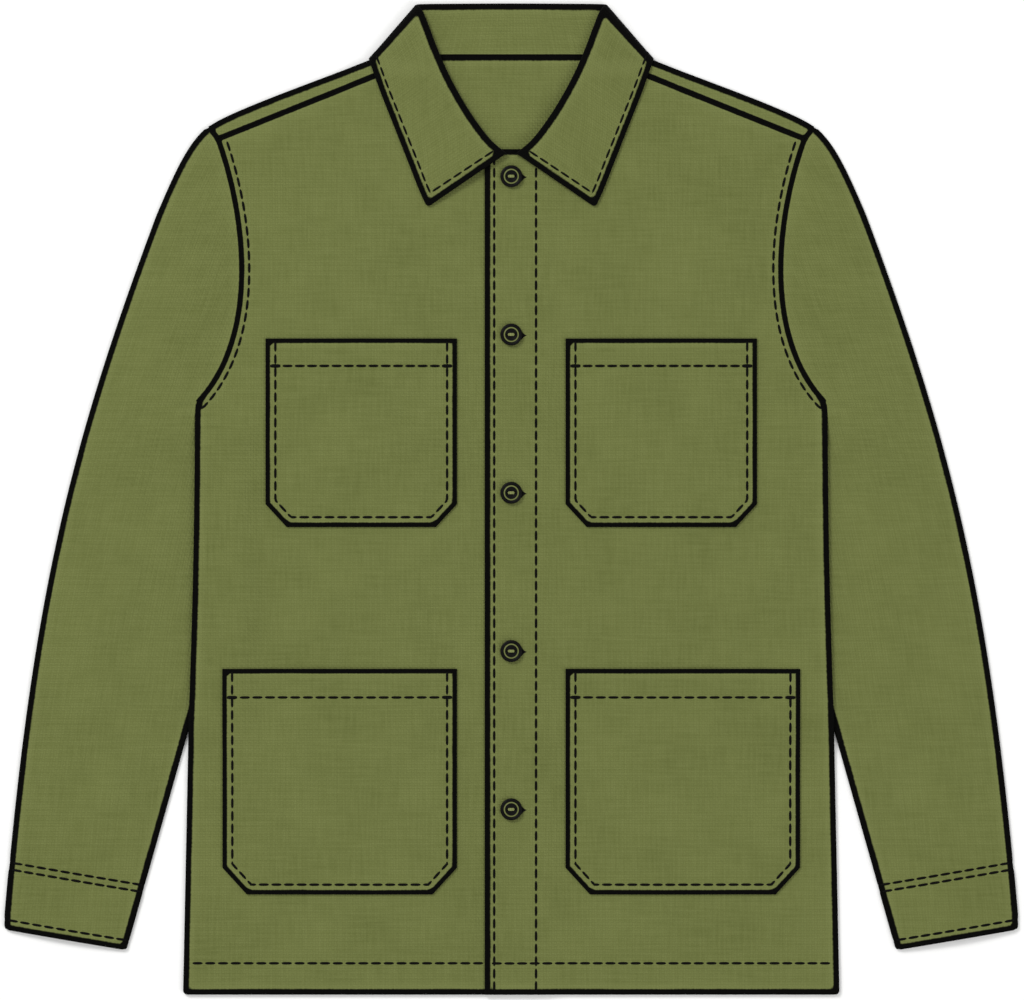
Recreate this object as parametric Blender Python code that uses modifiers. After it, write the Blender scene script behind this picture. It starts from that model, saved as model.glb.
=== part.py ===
"""Chore jacket laid flat with its front up, buttoned, with its collar turned down.

Metres, +Z up. X runs across the jacket, Y from the hem to the collar, and the surface that it
lies on is Z = 0. The wearer's left side is at +X. Sizes below are in millimetres. Every panel is
a single ply: a grid laid through its own outline at mid thickness, then given its thickness by
Solidify. Panels that lie on each other share their columns and rows, so they stack evenly.
"""
import bmesh
import bpy
import numpy as np
from mathutils import Vector

MM = 0.001

# Cloth
PLY = 1.2                   # thickness of the canvas
COLLAR_PLY = 1.5            # two plies of canvas, pressed
GAP = 0.3                   # space kept between pieces
STEP = PLY + GAP            # from one ply's middle to the next
MERGE = 0.01                # grid points closer than this are one

# Body outline
HEM_Y = -406.5
UNDERARM_Y = 77.0
HEM_HALF = 267.0
UNDERARM_HALF = 258.0
SHOULDER_TIP = (244.6, 303.4)
NECK_SIDE_X = 97.0
BACK_NECK_Y = 363.0
FRONT_NECK_Y = 285.0
NECK_START_X = 12.0
SEAM_OUTER_Y = 296.0        # forward shoulder seam, at the armhole
SEAM_INNER_Y = 353.0        # and at the neck
ARMHOLE = ((258.0, 77.0), (213.0, 136.3), (214.0, 224.4), SHOULDER_TIP)
SHOULDER = ((97.0, 364.6), (146.5, 346.5), (198.7, 331.2), SHOULDER_TIP)

# Front opening
PLACKET_X = 20.7            # half of the lap, to each side of the centre front
PLACKET_FLAT_X = 22.0       # the lap stays level up to here
PLACKET_FOOT_X = 44.5       # and has come down to the panel here

# Heights
BACK_Z = PLY / 2
FRONT_Z = BACK_Z + STEP
LIFT = 3.3                  # the body rises over the part of the sleeve that it hides
LIFT_FOOT_X = 202.0
LIFT_TOP_X = 226.0
LIFT_ROWS = (-215.0, -175.0, 45.0, UNDERARM_Y)
PUFF = 1.4                  # the fronts stand off the back by this much more
COLLAR_RAISE = 1.8          # the body rises over the collar leaf at the back of the neck
RAISE_FULL_X = 123.0
RAISE_FOOT_X = 141.0
BACK_RAISE_Y = (309.0, 340.0)
FRONT_RAISE_Y = (290.0, 335.0)

# Lattice of the body. The last column is the panel's own edge.
EDGE = 400.0
SQUEEZE = 4.0               # least space between columns that the armhole pushes in
FRONT_COLUMNS = (PLACKET_FLAT_X, PLACKET_FOOT_X, 70.0, 84.0, NECK_SIDE_X, RAISE_FULL_X,
                 RAISE_FOOT_X, 162.0, LIFT_FOOT_X, LIFT_TOP_X, 236.3, EDGE)
BACK_COLUMNS = (48.0, NECK_SIDE_X, RAISE_FULL_X, RAISE_FOOT_X, LIFT_FOOT_X, LIFT_TOP_X, 236.3, EDGE)
ROWS = (HEM_Y, -365.0, -324.2, -301.0, -258.0, -215.0, -175.0, -139.2, -100.0, -60.0, -23.0, -4.0,
        20.0, 45.0, UNDERARM_Y, 88.0, 104.0, 131.6, 163.0, 196.0, 230.0)
FRONT_TOP_ROWS = (252.0, 274.0, SEAM_OUTER_Y)
BACK_TOP_ROWS = (252.0, 274.0, SEAM_OUTER_Y, SHOULDER_TIP[1])

# Patch pockets: inner and outer column, bottom and top row, and the cut of the lower corners
POCKETS = {
    "chest": {"inner": PLACKET_FOOT_X, "outer": LIFT_FOOT_X, "bottom": -23.0, "top": 131.6,
              "cut": 15.5},
    "hip": {"inner": PLACKET_FOOT_X, "outer": 236.3, "bottom": -324.2, "top": -139.2, "cut": 19.0},
}

# Sleeves
SLEEVE_SHOULDER = (SHOULDER_TIP, (276.5, 290.8), (276.9, 257.3), (291.3, 232.9))
SLEEVE_ARM = ((291.3, 232.9), (366.0, 48.6), (401.2, -143.7), (416.0, -341.1))
SLEEVE_GAP = 0.35           # from the body's armhole edge
SLEEVE_PUFF = 2.2
SLEEVE_LEAVES_Y = -175.0    # the inner fold comes out from under the body here
SLEEVE_HIDES_Y = 45.0       # and goes under it here
SLEEVE_BOW = 24.0           # how far it goes under
INNER_FOLD_X = 260.6
INNER_SLOPE = 0.283
# Each row runs from the inner edge's y to the outer edge's y, down to the slanted cuff.
SLEEVE_ROWS = (
    {"inner": -368.5, "outer": -354.0},
    {"inner": -325.0, "outer": -312.0},
    {"inner": -272.0, "outer": -261.0},
    {"inner": -222.0, "outer": -214.0},
    {"inner": -175.0, "outer": -170.0},
    {"inner": -130.0, "outer": -127.0},
    {"inner": -80.0, "outer": -80.0},
    {"inner": -30.0, "outer": -30.0},
    {"inner": 10.0, "outer": 10.0},
    {"inner": 34.0, "outer": 34.0},
    {"inner": 45.0, "outer": 50.0},
    {"inner": UNDERARM_Y, "outer": UNDERARM_Y},
    {"inner": 88.0, "outer": 92.0},
    {"inner": 104.0, "outer": 110.0},
    {"inner": 131.6, "outer": 136.0},
    {"inner": 163.0, "outer": 166.0},
    {"inner": 196.0, "outer": 198.0},
    {"inner": 230.0, "outer": 230.0},
    {"inner": 252.0, "outer": 252.0},
    {"inner": 274.0, "outer": 274.0},
    {"inner": SEAM_OUTER_Y, "outer": SEAM_OUTER_Y},
    {"inner": 303.0, "outer": 303.0},
)
SLEEVE_SPANS = (0.0, 0.16, 0.34, 0.54, 0.76, 1.0)

# Collar sections from the centre front around to the centre back. "turn" is the side that the
# leaf lies on, in degrees: 0 above the stand, 90 outside it, 180 below it.
COLLAR_COLUMNS = ("seam_x", "seam_y", "seam_z", "fold_x", "fold_y", "fold_z",
                  "edge_x", "edge_y", "edge_z", "turn")
COLLAR_SECTIONS = (
    (13.5, 283.4, 5.45, 10.8, 284.6, 6.8, 67.0, 242.0, 4.0, 0.0),
    (24.0, 287.2, 5.2, 17.6, 291.6, 6.9, 71.5, 252.0, 4.0, 0.0),
    (44.5, 291.0, 3.4, 30.0, 306.0, 6.9, 79.6, 271.5, 4.0, 0.0),
    (60.0, 298.9, 2.8, 43.2, 326.0, 6.9, 88.3, 292.5, 4.0, 0.0),
    (69.6, 304.0, 2.8, 54.8, 347.0, 6.9, 97.0, 313.5, 4.7, 0.0),
    (83.4, 318.6, 3.4, 64.8, 369.4, 6.9, 105.4, 334.0, 5.6, 0.0),
    (90.0, 336.0, 4.0, 72.0, 387.4, 6.9, 111.5, 348.6, 5.8, 0.0),
    (96.2, 353.0, 4.6, 77.6, 399.6, 6.8, 115.2, 357.4, 5.6, 0.0),
    (95.9, 360.5, 4.8, 79.2, 402.2, 6.1, 116.7, 359.9, 4.6, 45.0),
    (96.2, 365.9, 3.8, 80.0, 403.2, 4.5, 117.2, 361.2, 3.0, 90.0),
    (95.6, 364.9, 2.8, 78.6, 403.8, 2.9, 116.2, 360.8, 1.4, 135.0),
    (88.0, 363.9, 2.6, 72.0, 404.1, 2.05, 108.0, 356.0, 0.8, 180.0),
    (60.0, 363.5, 2.6, 48.0, 404.3, 2.05, 70.0, 352.4, 0.8, 180.0),
    (30.0, 363.5, 2.6, 24.0, 404.4, 2.05, 35.0, 351.4, 0.8, 180.0),
)
COLLAR_BACK = (0.0, 363.5, 2.6, 0.0, 404.45, 2.05, 0.0, 351.0, 0.8, 180.0)
COLLAR_ROLL = 1.25          # radius of the fold between stand and leaf
ROLL_ANGLES = (0.0, 45.0, 90.0, 135.0, 180.0)
LEAF_SHARES = (0.35, 0.7, 1.0)
LEAF_BULGE = 1.5            # the leaf stays high near the roll and comes down at its edge

# Buttons
BUTTON_RADIUS = 9.0
BUTTON_HEIGHT = 3.0
BUTTON_RIM = 2.4            # width of the raised rim
BUTTON_DISH = 0.9           # depth of the middle below it
BUTTON_ROUND = 0.5
BUTTON_SIDES = 24
BUTTON_TOP_Y = 264.5
BUTTON_PITCH = 129.7
BUTTON_COUNT = 5
BUTTON_Z = FRONT_Z + STEP + PLY / 2 + 0.35

CANVAS_COLOUR = (0.159, 0.182, 0.056, 1.0)
HORN_COLOUR = (0.006, 0.006, 0.006, 1.0)


# Curves and ramps

def bezier(controls, count=64):
    """Points along a cubic Bezier curve, as two arrays."""
    t = np.linspace(0.0, 1.0, count)[:, None]
    p0, p1, p2, p3 = (np.array(point) for point in controls)
    curve = (1 - t) ** 3 * p0 + 3 * (1 - t) ** 2 * t * p1 + 3 * (1 - t) * t ** 2 * p2 + t ** 3 * p3
    return curve[:, 0], curve[:, 1]


def ramp(value, start, end):
    """0 before start, 1 after end, straight between them."""
    return np.clip((value - start) / (end - start), 0.0, 1.0)


def body_half(y):
    """Half width of the body: its side up to the underarm, then the armhole."""
    armhole_x, armhole_y = bezier(ARMHOLE)
    side = UNDERARM_HALF + (HEM_HALF - UNDERARM_HALF) * ramp(y, UNDERARM_Y, HEM_Y)
    return np.where(y <= UNDERARM_Y, side, np.interp(y, armhole_y, armhole_x))


def shoulder_y(x):
    """Height of the shoulder's fold above the distance x from the centre."""
    curve_x, curve_y = bezier(SHOULDER)
    return np.interp(x, curve_x, curve_y)


def seam_y(x):
    """Height of the forward shoulder seam, a straight line from armhole to neck."""
    outer_x = float(body_half(SEAM_OUTER_Y))
    return np.interp(x, (NECK_SIDE_X, outer_x), (SEAM_INNER_Y, SEAM_OUTER_Y))


def neckline_y(x):
    """Front neckline: a quarter ellipse from the centre front up to the neck's side."""
    along = ramp(x, NECK_START_X, NECK_SIDE_X)
    return SEAM_INNER_Y - (SEAM_INNER_Y - FRONT_NECK_Y) * np.sqrt(1.0 - along ** 2)


def front_top_y(x):
    """Upper edge of a front: neckline, then the forward shoulder seam."""
    return np.where(np.abs(x) < NECK_SIDE_X, neckline_y(np.abs(x)), seam_y(np.abs(x)) - GAP / 2)


def back_top_y(x):
    """Upper edge of the back's lower ply: back neck, then just inside the shoulder's fold."""
    fold = shoulder_y(np.abs(x)) - STEP
    return np.where(np.abs(x) < NECK_SIDE_X, BACK_NECK_Y, np.minimum(fold, BACK_NECK_Y))


# Heights

def lift(x, y):
    """Rise of the body over the hidden part of the sleeve."""
    across = ramp(np.abs(x), LIFT_FOOT_X, LIFT_TOP_X)
    low, low_full, high_full, high = LIFT_ROWS
    return LIFT * across * ramp(y, low, low_full) * ramp(y, high, high_full)


def collar_raise(x, y, rows):
    """Rise of the body over the collar's leaf, between the two given rows."""
    across = 1.0 - ramp(np.abs(x), RAISE_FULL_X, RAISE_FOOT_X)
    return COLLAR_RAISE * across * ramp(y, *rows)


def back_height(x, y):
    """Middle of the back's ply."""
    return BACK_Z + lift(x, y) + collar_raise(x, y, BACK_RAISE_Y)


def front_height(x, y, laps):
    """Middle of a front's ply. The front that laps steps up over the other one."""
    across = np.sin(np.pi * ramp(np.abs(x), PLACKET_FOOT_X, LIFT_FOOT_X)) ** 2
    along = ramp(y, HEM_Y, -301.0) * ramp(y, 230.0, 131.6)
    height = FRONT_Z + lift(x, y) + collar_raise(x, y, FRONT_RAISE_Y) + PUFF * across * along
    if laps:
        height = height + STEP * ramp(x, PLACKET_FOOT_X, PLACKET_FLAT_X)
    return height


# Grids

def add_grid(bm, points, keep=None):
    """Adds a grid through points, rows x columns x 3 in millimetres, without the cells not kept."""
    rows, columns = points.shape[:2]
    made = bmesh.ops.create_grid(bm, x_segments=columns - 1, y_segments=rows - 1, size=0.5)
    cells = {}
    for vert in made["verts"]:
        column = round((vert.co.x + 0.5) * (columns - 1))
        row = round((vert.co.y + 0.5) * (rows - 1))
        cells[vert] = (row, column)
        vert.co = Vector(points[row, column]) * MM
    if keep is None:
        return
    faces = {face for vert in made["verts"] for face in vert.link_faces}
    corners = {face: min(cells[vert] for vert in face.verts) for face in faces}
    dropped = [face for face in faces if not keep[corners[face]]]
    bmesh.ops.delete(bm, geom=dropped, context="FACES")


def finish_ply(name, bm, thickness, material, collection):
    """Welds the grids, splits them along one diagonal and gives the ply its thickness."""
    bmesh.ops.remove_doubles(bm, verts=bm.verts, dist=MERGE * MM)
    bmesh.ops.triangulate(bm, faces=bm.faces, quad_method="FIXED", ngon_method="BEAUTY")
    mesh = bpy.data.meshes.new(name)
    bm.to_mesh(mesh)
    bm.free()
    mesh.materials.append(material)
    ply = bpy.data.objects.new(name, mesh)
    collection.objects.link(ply)
    solid = ply.modifiers.new("Thickness", "SOLIDIFY")
    solid.thickness = thickness * MM
    solid.offset = 0.0
    return ply


def panel_grid(columns, rank, top_rows, top_y):
    """Lattice of a body panel.

    Columns stay straight until the armhole pushes them in, rank counting them from the outer
    edge. Rows stay level up to the last of ROWS, and from there they spread up to top_y.
    """
    row_y = np.array(ROWS + top_rows)[:, None]
    last = ROWS[-1]
    rise = np.clip((row_y - last) / (top_rows[-1] - last), 0.0, 1.0)
    corner = top_y(body_half(np.asarray(top_rows[-1])))
    edge_y = np.where(row_y <= last, row_y, last + (corner - last) * rise)
    x = np.sign(columns) * np.minimum(np.abs(columns), body_half(edge_y) - SQUEEZE * rank)
    y = np.where(row_y <= last, row_y, last + (top_y(x) - last) * rise)
    return x, y


def stack(x, y, z):
    """One array of points from three arrays that fit each other."""
    return np.stack(np.broadcast_arrays(x, y, z), axis=-1)


# Pieces

def build_back(material, collection):
    """Back panel, with a strip on each side that wraps over the shoulder to the front."""
    half = np.array(BACK_COLUMNS)
    columns = np.concatenate((-half[::-1], (0.0,), half))
    rank = len(half) - np.abs(np.arange(-len(half), len(half) + 1))
    x, y = panel_grid(columns, rank, BACK_TOP_ROWS, back_top_y)
    bm = bmesh.new()
    add_grid(bm, stack(x, y, back_height(x, y)))
    for side in (-1, 1):
        add_grid(bm, shoulder_strip(side))
    return finish_ply("back", bm, PLY, material, collection)


def shoulder_strip(side):
    """Strip from the shoulder's fold to the forward seam, on one side of the neck."""
    columns = np.array([column for column in BACK_COLUMNS if column >= NECK_SIDE_X])
    rank = np.arange(columns.size)[::-1]
    corner = body_half(back_top_y(np.asarray(SHOULDER_TIP[0])))
    x = np.minimum(columns, corner - SQUEEZE * rank)[None, :]
    fold = back_top_y(x)
    seam = seam_y(x) + GAP / 2
    y = np.concatenate((fold, fold + STEP / 2, fold, (fold + seam) / 2, seam))
    x = np.where(rank == 0, x + body_half(y) - body_half(fold), x)
    level = BACK_Z + collar_raise(x, np.full_like(y, BACK_NECK_Y), BACK_RAISE_Y)
    rise = np.array((0.0, STEP / 2, STEP, STEP, STEP))[:, None]
    points = stack(side * x, y, level + rise)
    return points[:, ::side]


def front_columns(laps):
    """Columns of one front, from its edge at the opening to its side, in increasing x."""
    side = 1 if laps else -1
    columns = np.array((-PLACKET_X, 0.0) + FRONT_COLUMNS)
    rank = np.arange(columns.size)[::-1]
    return (side * columns)[::side], rank[::side]


def build_front(name, laps, material, collection):
    """One front, from the opening's edge to the side, neckline, armhole and forward seam."""
    columns, rank = front_columns(laps)
    x, y = panel_grid(columns, rank, FRONT_TOP_ROWS, front_top_y)
    bm = bmesh.new()
    add_grid(bm, stack(x, y, front_height(x, y, laps)))
    return finish_ply(name, bm, PLY, material, collection)


def build_pocket(name, form, side, material, collection):
    """Patch pocket on a front's own points, moved out by one ply, with its lower corners cut."""
    columns, rank = front_columns(side > 0)
    x, y = panel_grid(columns, rank, FRONT_TOP_ROWS, front_top_y)
    inside_x = (np.abs(columns) >= form["inner"]) & (np.abs(columns) <= form["outer"])
    inside_x &= np.sign(columns) == side
    rows = np.array(ROWS + FRONT_TOP_ROWS)
    inside_y = (rows >= form["bottom"]) & (rows <= form["top"])
    x = x[np.ix_(inside_y, inside_x)]
    y = y[np.ix_(inside_y, inside_x)]
    z = front_height(x, y, side > 0) + STEP
    cut_x = np.clip(np.abs(x[0]), form["inner"] + form["cut"], form["outer"] - form["cut"])
    x[0] = side * cut_x
    z[0] = front_height(x[0], y[0], side > 0) + STEP
    bm = bmesh.new()
    add_grid(bm, stack(x, y, z))
    return finish_ply(name, bm, PLY, material, collection)


def sleeve_inner_x(y):
    """Inner edge of the sleeve: armhole, then hidden under the body, then its inner fold."""
    under = SLEEVE_BOW * np.sin(np.pi * ramp(y, SLEEVE_LEAVES_Y, SLEEVE_HIDES_Y))
    armpit = body_half(np.asarray(UNDERARM_Y)) + SLEEVE_GAP
    hidden = INNER_FOLD_X - under + (armpit - INNER_FOLD_X) * ramp(y, SLEEVE_HIDES_Y, UNDERARM_Y)
    free = INNER_FOLD_X + INNER_SLOPE * (SLEEVE_LEAVES_Y - y)
    armhole = body_half(y) + SLEEVE_GAP
    return np.where(y > UNDERARM_Y, armhole, np.where(y < SLEEVE_LEAVES_Y, free, hidden))


def sleeve_outer_x(y):
    """Outer fold of the sleeve, from the shoulder's tip to the cuff."""
    upper_x, upper_y = bezier(SLEEVE_SHOULDER)
    lower_x, lower_y = bezier(SLEEVE_ARM)
    curve_x = np.concatenate((upper_x, lower_x[1:]))[::-1]
    curve_y = np.concatenate((upper_y, lower_y[1:]))[::-1]
    return np.interp(y, curve_y, curve_x)


def build_sleeve(name, side, material, collection):
    """Flat tube: upper ply, outer fold, lower ply and, below the underarm, the inner fold."""
    inner_y = np.array([row["inner"] for row in SLEEVE_ROWS])[:, None]
    outer_y = np.array([row["outer"] for row in SLEEVE_ROWS])[:, None]
    inner_x = sleeve_inner_x(inner_y)
    outer_x = np.maximum(sleeve_outer_x(outer_y), inner_x + 2 * STEP + GAP)
    closed = inner_y <= UNDERARM_Y
    fold = STEP / 2
    start = inner_x + np.where(closed, PLY / 2 + fold, 0.0)
    end = outer_x - PLY / 2 - fold
    span = np.array(SLEEVE_SPANS)[None, :]
    upper_x = start + (end - start) * span
    visible = np.maximum(start, np.where(closed, body_half(inner_y) + 4.0, 0.0))
    swell = np.sin(np.pi * np.clip((upper_x - visible) / (end - visible), 0.0, 1.0))
    rise = SLEEVE_PUFF * ramp(inner_y, SHOULDER_TIP[1], 230.0)
    upper_z = FRONT_Z + rise * swell
    lower_x = upper_x[:, ::-1]
    lower_z = np.full_like(lower_x, BACK_Z)
    inner_apex = inner_x + PLY / 2
    outer_apex = outer_x - PLY / 2
    x = np.concatenate((inner_apex, upper_x, outer_apex, lower_x, inner_apex), axis=1)
    middle = np.full_like(inner_apex, BACK_Z + fold)
    z = np.concatenate((middle, upper_z, middle, lower_z, middle), axis=1)
    share = np.clip((x - inner_x) / (outer_x - inner_x), 0.0, 1.0)
    y = inner_y + (outer_y - inner_y) * share
    keep = np.ones((x.shape[0] - 1, x.shape[1] - 1), dtype=bool)
    open_rows = inner_y[1:, 0] > UNDERARM_Y
    keep[open_rows, 0] = False
    keep[open_rows, -1] = False
    bm = bmesh.new()
    add_grid(bm, stack(side * x, y, z), keep)
    return finish_ply(name, bm, PLY, material, collection)


def collar_points():
    """Points of the whole collar, a row for each section and a column for each place across it."""
    half = np.array(COLLAR_SECTIONS)
    mirrored = half * [-1.0 if column.endswith("_x") else 1.0 for column in COLLAR_COLUMNS]
    sections = np.concatenate((half, [COLLAR_BACK], mirrored[::-1]))
    side = np.sign(sections[:, :1])
    seam, fold, edge = sections[:, 0:3], sections[:, 3:6], sections[:, 6:9]
    turn = np.radians(sections[:, 9:10])
    run = (fold - seam) * (1.0, 1.0, 0.0)
    out = run / np.linalg.norm(run, axis=1, keepdims=True)
    outward = np.cross(out, (0.0, 0.0, 1.0)) * side
    above = np.array((0.0, 0.0, 1.0))
    across = np.cos(turn) * above + np.sin(turn) * outward
    roll = [fold + COLLAR_ROLL * (np.sin(angle) * out - np.cos(angle) * across)
            for angle in np.radians(ROLL_ANGLES)]
    stand = [seam, seam + 0.5 * (roll[0] - seam)]
    fall = edge - roll[-1]
    leaf = [roll[-1] + fall * (share, share, share ** LEAF_BULGE) for share in LEAF_SHARES]
    return np.stack(stand + roll + leaf, axis=1)


def build_collar(material, collection):
    """Collar in one ring: a stand up from the neck seam, a roll, and the leaf turned down."""
    bm = bmesh.new()
    add_grid(bm, collar_points())
    return finish_ply("collar", bm, COLLAR_PLY, material, collection)


def build_button(name, y, material, collection):
    """Round button with a raised rim, turned about its own axis."""
    top = BUTTON_HEIGHT
    floor = top - BUTTON_DISH
    inner = BUTTON_RADIUS - BUTTON_RIM
    profile = ((0.0, floor), (inner - BUTTON_DISH, floor), (inner, top), (BUTTON_RADIUS - BUTTON_ROUND, top),
               (BUTTON_RADIUS, top - BUTTON_ROUND), (BUTTON_RADIUS, BUTTON_ROUND),
               (BUTTON_RADIUS - BUTTON_ROUND, 0.0), (0.0, 0.0))
    mesh = bpy.data.meshes.new(name)
    edges = [(index, index + 1) for index in range(len(profile) - 1)]
    mesh.from_pydata([(radius * MM, 0.0, height * MM) for radius, height in profile], edges, [])
    mesh.materials.append(material)
    button = bpy.data.objects.new(name, mesh)
    button.location = (0.0, y * MM, BUTTON_Z * MM)
    collection.objects.link(button)
    screw = button.modifiers.new("Turned", "SCREW")
    screw.steps = BUTTON_SIDES
    screw.render_steps = BUTTON_SIDES
    screw.use_merge_vertices = True
    screw.merge_threshold = 0.00001
    return button


# Materials and assembly

def cloth_material():
    """Olive cotton canvas."""
    material = bpy.data.materials.new("Cotton canvas")
    material.use_nodes = True
    shader = material.node_tree.nodes["Principled BSDF"]
    shader.inputs["Base Color"].default_value = CANVAS_COLOUR
    shader.inputs["Roughness"].default_value = 0.85
    shader.inputs["Metallic"].default_value = 0.0
    return material


def button_material():
    """Black horn."""
    material = bpy.data.materials.new("Black horn")
    material.use_nodes = True
    shader = material.node_tree.nodes["Principled BSDF"]
    shader.inputs["Base Color"].default_value = HORN_COLOUR
    shader.inputs["Roughness"].default_value = 0.35
    shader.inputs["Metallic"].default_value = 0.0
    return material


def main():
    """Clears the scene and builds every piece of the jacket."""
    for thing in list(bpy.data.objects):
        bpy.data.objects.remove(thing)
    jacket = bpy.data.collections.new("Chore jacket")
    bpy.context.scene.collection.children.link(jacket)
    canvas = cloth_material()
    horn = button_material()
    build_back(canvas, jacket)
    build_front("front_left", True, canvas, jacket)
    build_front("front_right", False, canvas, jacket)
    build_sleeve("sleeve_left", 1, canvas, jacket)
    build_sleeve("sleeve_right", -1, canvas, jacket)
    build_collar(canvas, jacket)
    for place, form in POCKETS.items():
        build_pocket(f"pocket_{place}_left", form, 1, canvas, jacket)
        build_pocket(f"pocket_{place}_right", form, -1, canvas, jacket)
    for index in range(BUTTON_COUNT):
        y = BUTTON_TOP_Y - BUTTON_PITCH * index
        build_button(f"button_{index + 1}", y, horn, jacket)


main()
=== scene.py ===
"""Looks of the chore jacket: canvas panels, topstitching, buttons and a plain studio.

The jacket lies flat with its front up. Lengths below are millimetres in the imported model's frame:
X runs across the jacket towards the wearer's left, Y from the hem to the collar, Z up. Every panel
is one closed shell around its middle surface, which is a function of two parameters on a grid.
"""
import logging
from dataclasses import dataclass, field
from enum import Enum
from typing import Any, Callable, Sequence

import bpy
import numpy as np
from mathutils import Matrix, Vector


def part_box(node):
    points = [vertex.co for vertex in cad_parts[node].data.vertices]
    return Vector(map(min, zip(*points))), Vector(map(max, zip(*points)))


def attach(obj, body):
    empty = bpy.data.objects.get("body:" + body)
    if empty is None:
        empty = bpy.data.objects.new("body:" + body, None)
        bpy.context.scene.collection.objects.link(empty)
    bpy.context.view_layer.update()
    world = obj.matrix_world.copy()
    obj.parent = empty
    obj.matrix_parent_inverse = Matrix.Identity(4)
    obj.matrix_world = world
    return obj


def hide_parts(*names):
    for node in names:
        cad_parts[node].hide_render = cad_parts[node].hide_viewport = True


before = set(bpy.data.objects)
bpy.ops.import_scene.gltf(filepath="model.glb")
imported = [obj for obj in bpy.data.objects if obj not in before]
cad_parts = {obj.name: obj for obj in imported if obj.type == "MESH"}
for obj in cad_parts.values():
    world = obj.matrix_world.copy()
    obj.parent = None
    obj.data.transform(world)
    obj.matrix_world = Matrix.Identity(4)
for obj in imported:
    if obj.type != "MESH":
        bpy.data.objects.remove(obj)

Array = np.ndarray
Point = tuple[float, float]
Surface = Callable[[Array, Array], Array]
Material = bpy.types.Material
Piece = bpy.types.Object
LOG = logging.getLogger("jacket")
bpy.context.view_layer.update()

MM = 0.001
PLY = 1.2
COLLAR_PLY = 1.5
STEP = 1.5                  # from one ply's middle to the next one's
ROLLED_EDGE = 0.6           # a ply's edge is rounded over this width
RIM = 0.14                  # half of what is left of the thickness at the very edge
TROUGH = (-0.24, 1.3)       # depth and width of the trough that a stitched row presses in
PUCKER = (0.09, 5.0)        # height and width of the puckers beside it
BAND_ENDS = (1.6, -0.4)     # beyond its row, where the rise over a hidden second ply ends and is full
HEM_WIDER = 2.2             # beyond the solid, at each side of the hem
# The numbers below shape the band of painted shade along seams, edges and folds.
SEAM_FADES = (3.0, 9.0)     # distances from a seam between which its line becomes an edge's line
COVERED_WITHIN = 0.5        # a border this near a covered line counts as covered
COVERED_SHRUNK = 1.9        # a covered border's line is drawn narrower by this factor
COVERED_HEIGHT = 4.0        # times that height counts in the distance to a covered border
OVER_HEIGHT = 3.0           # times that height counts in the distance to a fold that passes over
END_FILL = 2.6              # added to the ditch where a drawn line ends
END_FADES = (0.5, 4.5)      # distances from a line's end over which that fades


class Side(Enum):
    """Side of the wearer, with its direction along X."""

    LEFT = 1
    RIGHT = -1

    @property
    def word(self) -> str:
        """Side as it stands in a node's name."""
        return self.name.lower()


# ---- numbers and curves

def node_box(node: str) -> tuple[Array, Array]:
    """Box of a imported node.

    Args:
        node: Name of the node.

    Returns:
        Its lowest and highest corners in millimetres.
    """
    low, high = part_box(node)
    return np.array(low) / MM, np.array(high) / MM


def node_base(node: str) -> Array:
    """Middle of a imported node's underside, in millimetres."""
    low, high = node_box(node)
    return np.array((*(low + high)[:2] / 2, low[2]))


def ease(value: Array, start: float, end: float) -> Array:
    """Smooth step: 0 at start, 1 at end, with level ends (3t^2 - 2t^3)."""
    t = np.clip((np.asarray(value, dtype=float) - start) / (end - start), 0.0, 1.0)
    return t * t * (3.0 - 2.0 * t)


def bezier(controls: Sequence[Point], count: int = 160) -> tuple[Array, Array]:
    """Points of a cubic Bezier curve.

    Args:
        controls: Its four control points.
        count: Number of points.

    Returns:
        The x and the y of the points.
    """
    t = np.linspace(0.0, 1.0, count)[:, None]
    p0, p1, p2, p3 = (np.array(point) for point in controls)
    curve = (1 - t) ** 3 * p0 + 3 * (1 - t) ** 2 * t * p1 + 3 * (1 - t) * t ** 2 * p2 + t ** 3 * p3
    return curve[:, 0], curve[:, 1]


def unit(vectors: Array) -> Array:
    """Vectors along the last axis, made one long."""
    return vectors / np.maximum(np.linalg.norm(vectors, axis=-1, keepdims=True), 1e-9)


def run_of(points: Array) -> Array:
    """Length along a line up to each of its points, one a row."""
    return np.concatenate(((0.0,), np.cumsum(np.linalg.norm(np.diff(points, axis=0), axis=1))))


def distance_to(points: Array, starts: Array, ends: Array) -> Array:
    """Distance of each point from the nearest of many segments.

    With d the segment's direction, the nearest foot lies the share t = (p-a).d / d.d along it, kept
    in 0..1, and the squared distance is |p-a|^2 - 2t (p-a).d + t^2 d.d.

    Args:
        points: Points, one a row.
        starts: Starts of the segments.
        ends: Ends of the segments.

    Returns:
        One distance a point.
    """
    run = ends - starts
    run_square = np.maximum((run ** 2).sum(axis=1), 1e-12)
    best = np.empty(len(points))
    block = max(1, 1_500_000 // len(starts))
    for first in range(0, len(points), block):
        part = points[first:first + block]
        dot = part @ run.T - (starts * run).sum(axis=1)
        share = np.clip(dot / run_square, 0.0, 1.0)
        square = (part ** 2).sum(axis=1)[:, None] + (starts ** 2).sum(axis=1) - 2.0 * part @ starts.T
        square = square - 2.0 * share * dot + share ** 2 * run_square
        best[first:first + block] = np.sqrt(np.maximum(square.min(axis=1), 0.0))
    return best


def from_path(points: Array, line: Array, height: float = 1.0) -> Array:
    """Distance of points from a line through points in space.

    Args:
        points: Points, one a row.
        line: Points of the line.
        height: How many times height counts.

    Returns:
        One distance a point.
    """
    stretch = (1.0, 1.0, height)
    tall = line * stretch
    return distance_to(points * stretch, tall[:-1], tall[1:])


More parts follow.
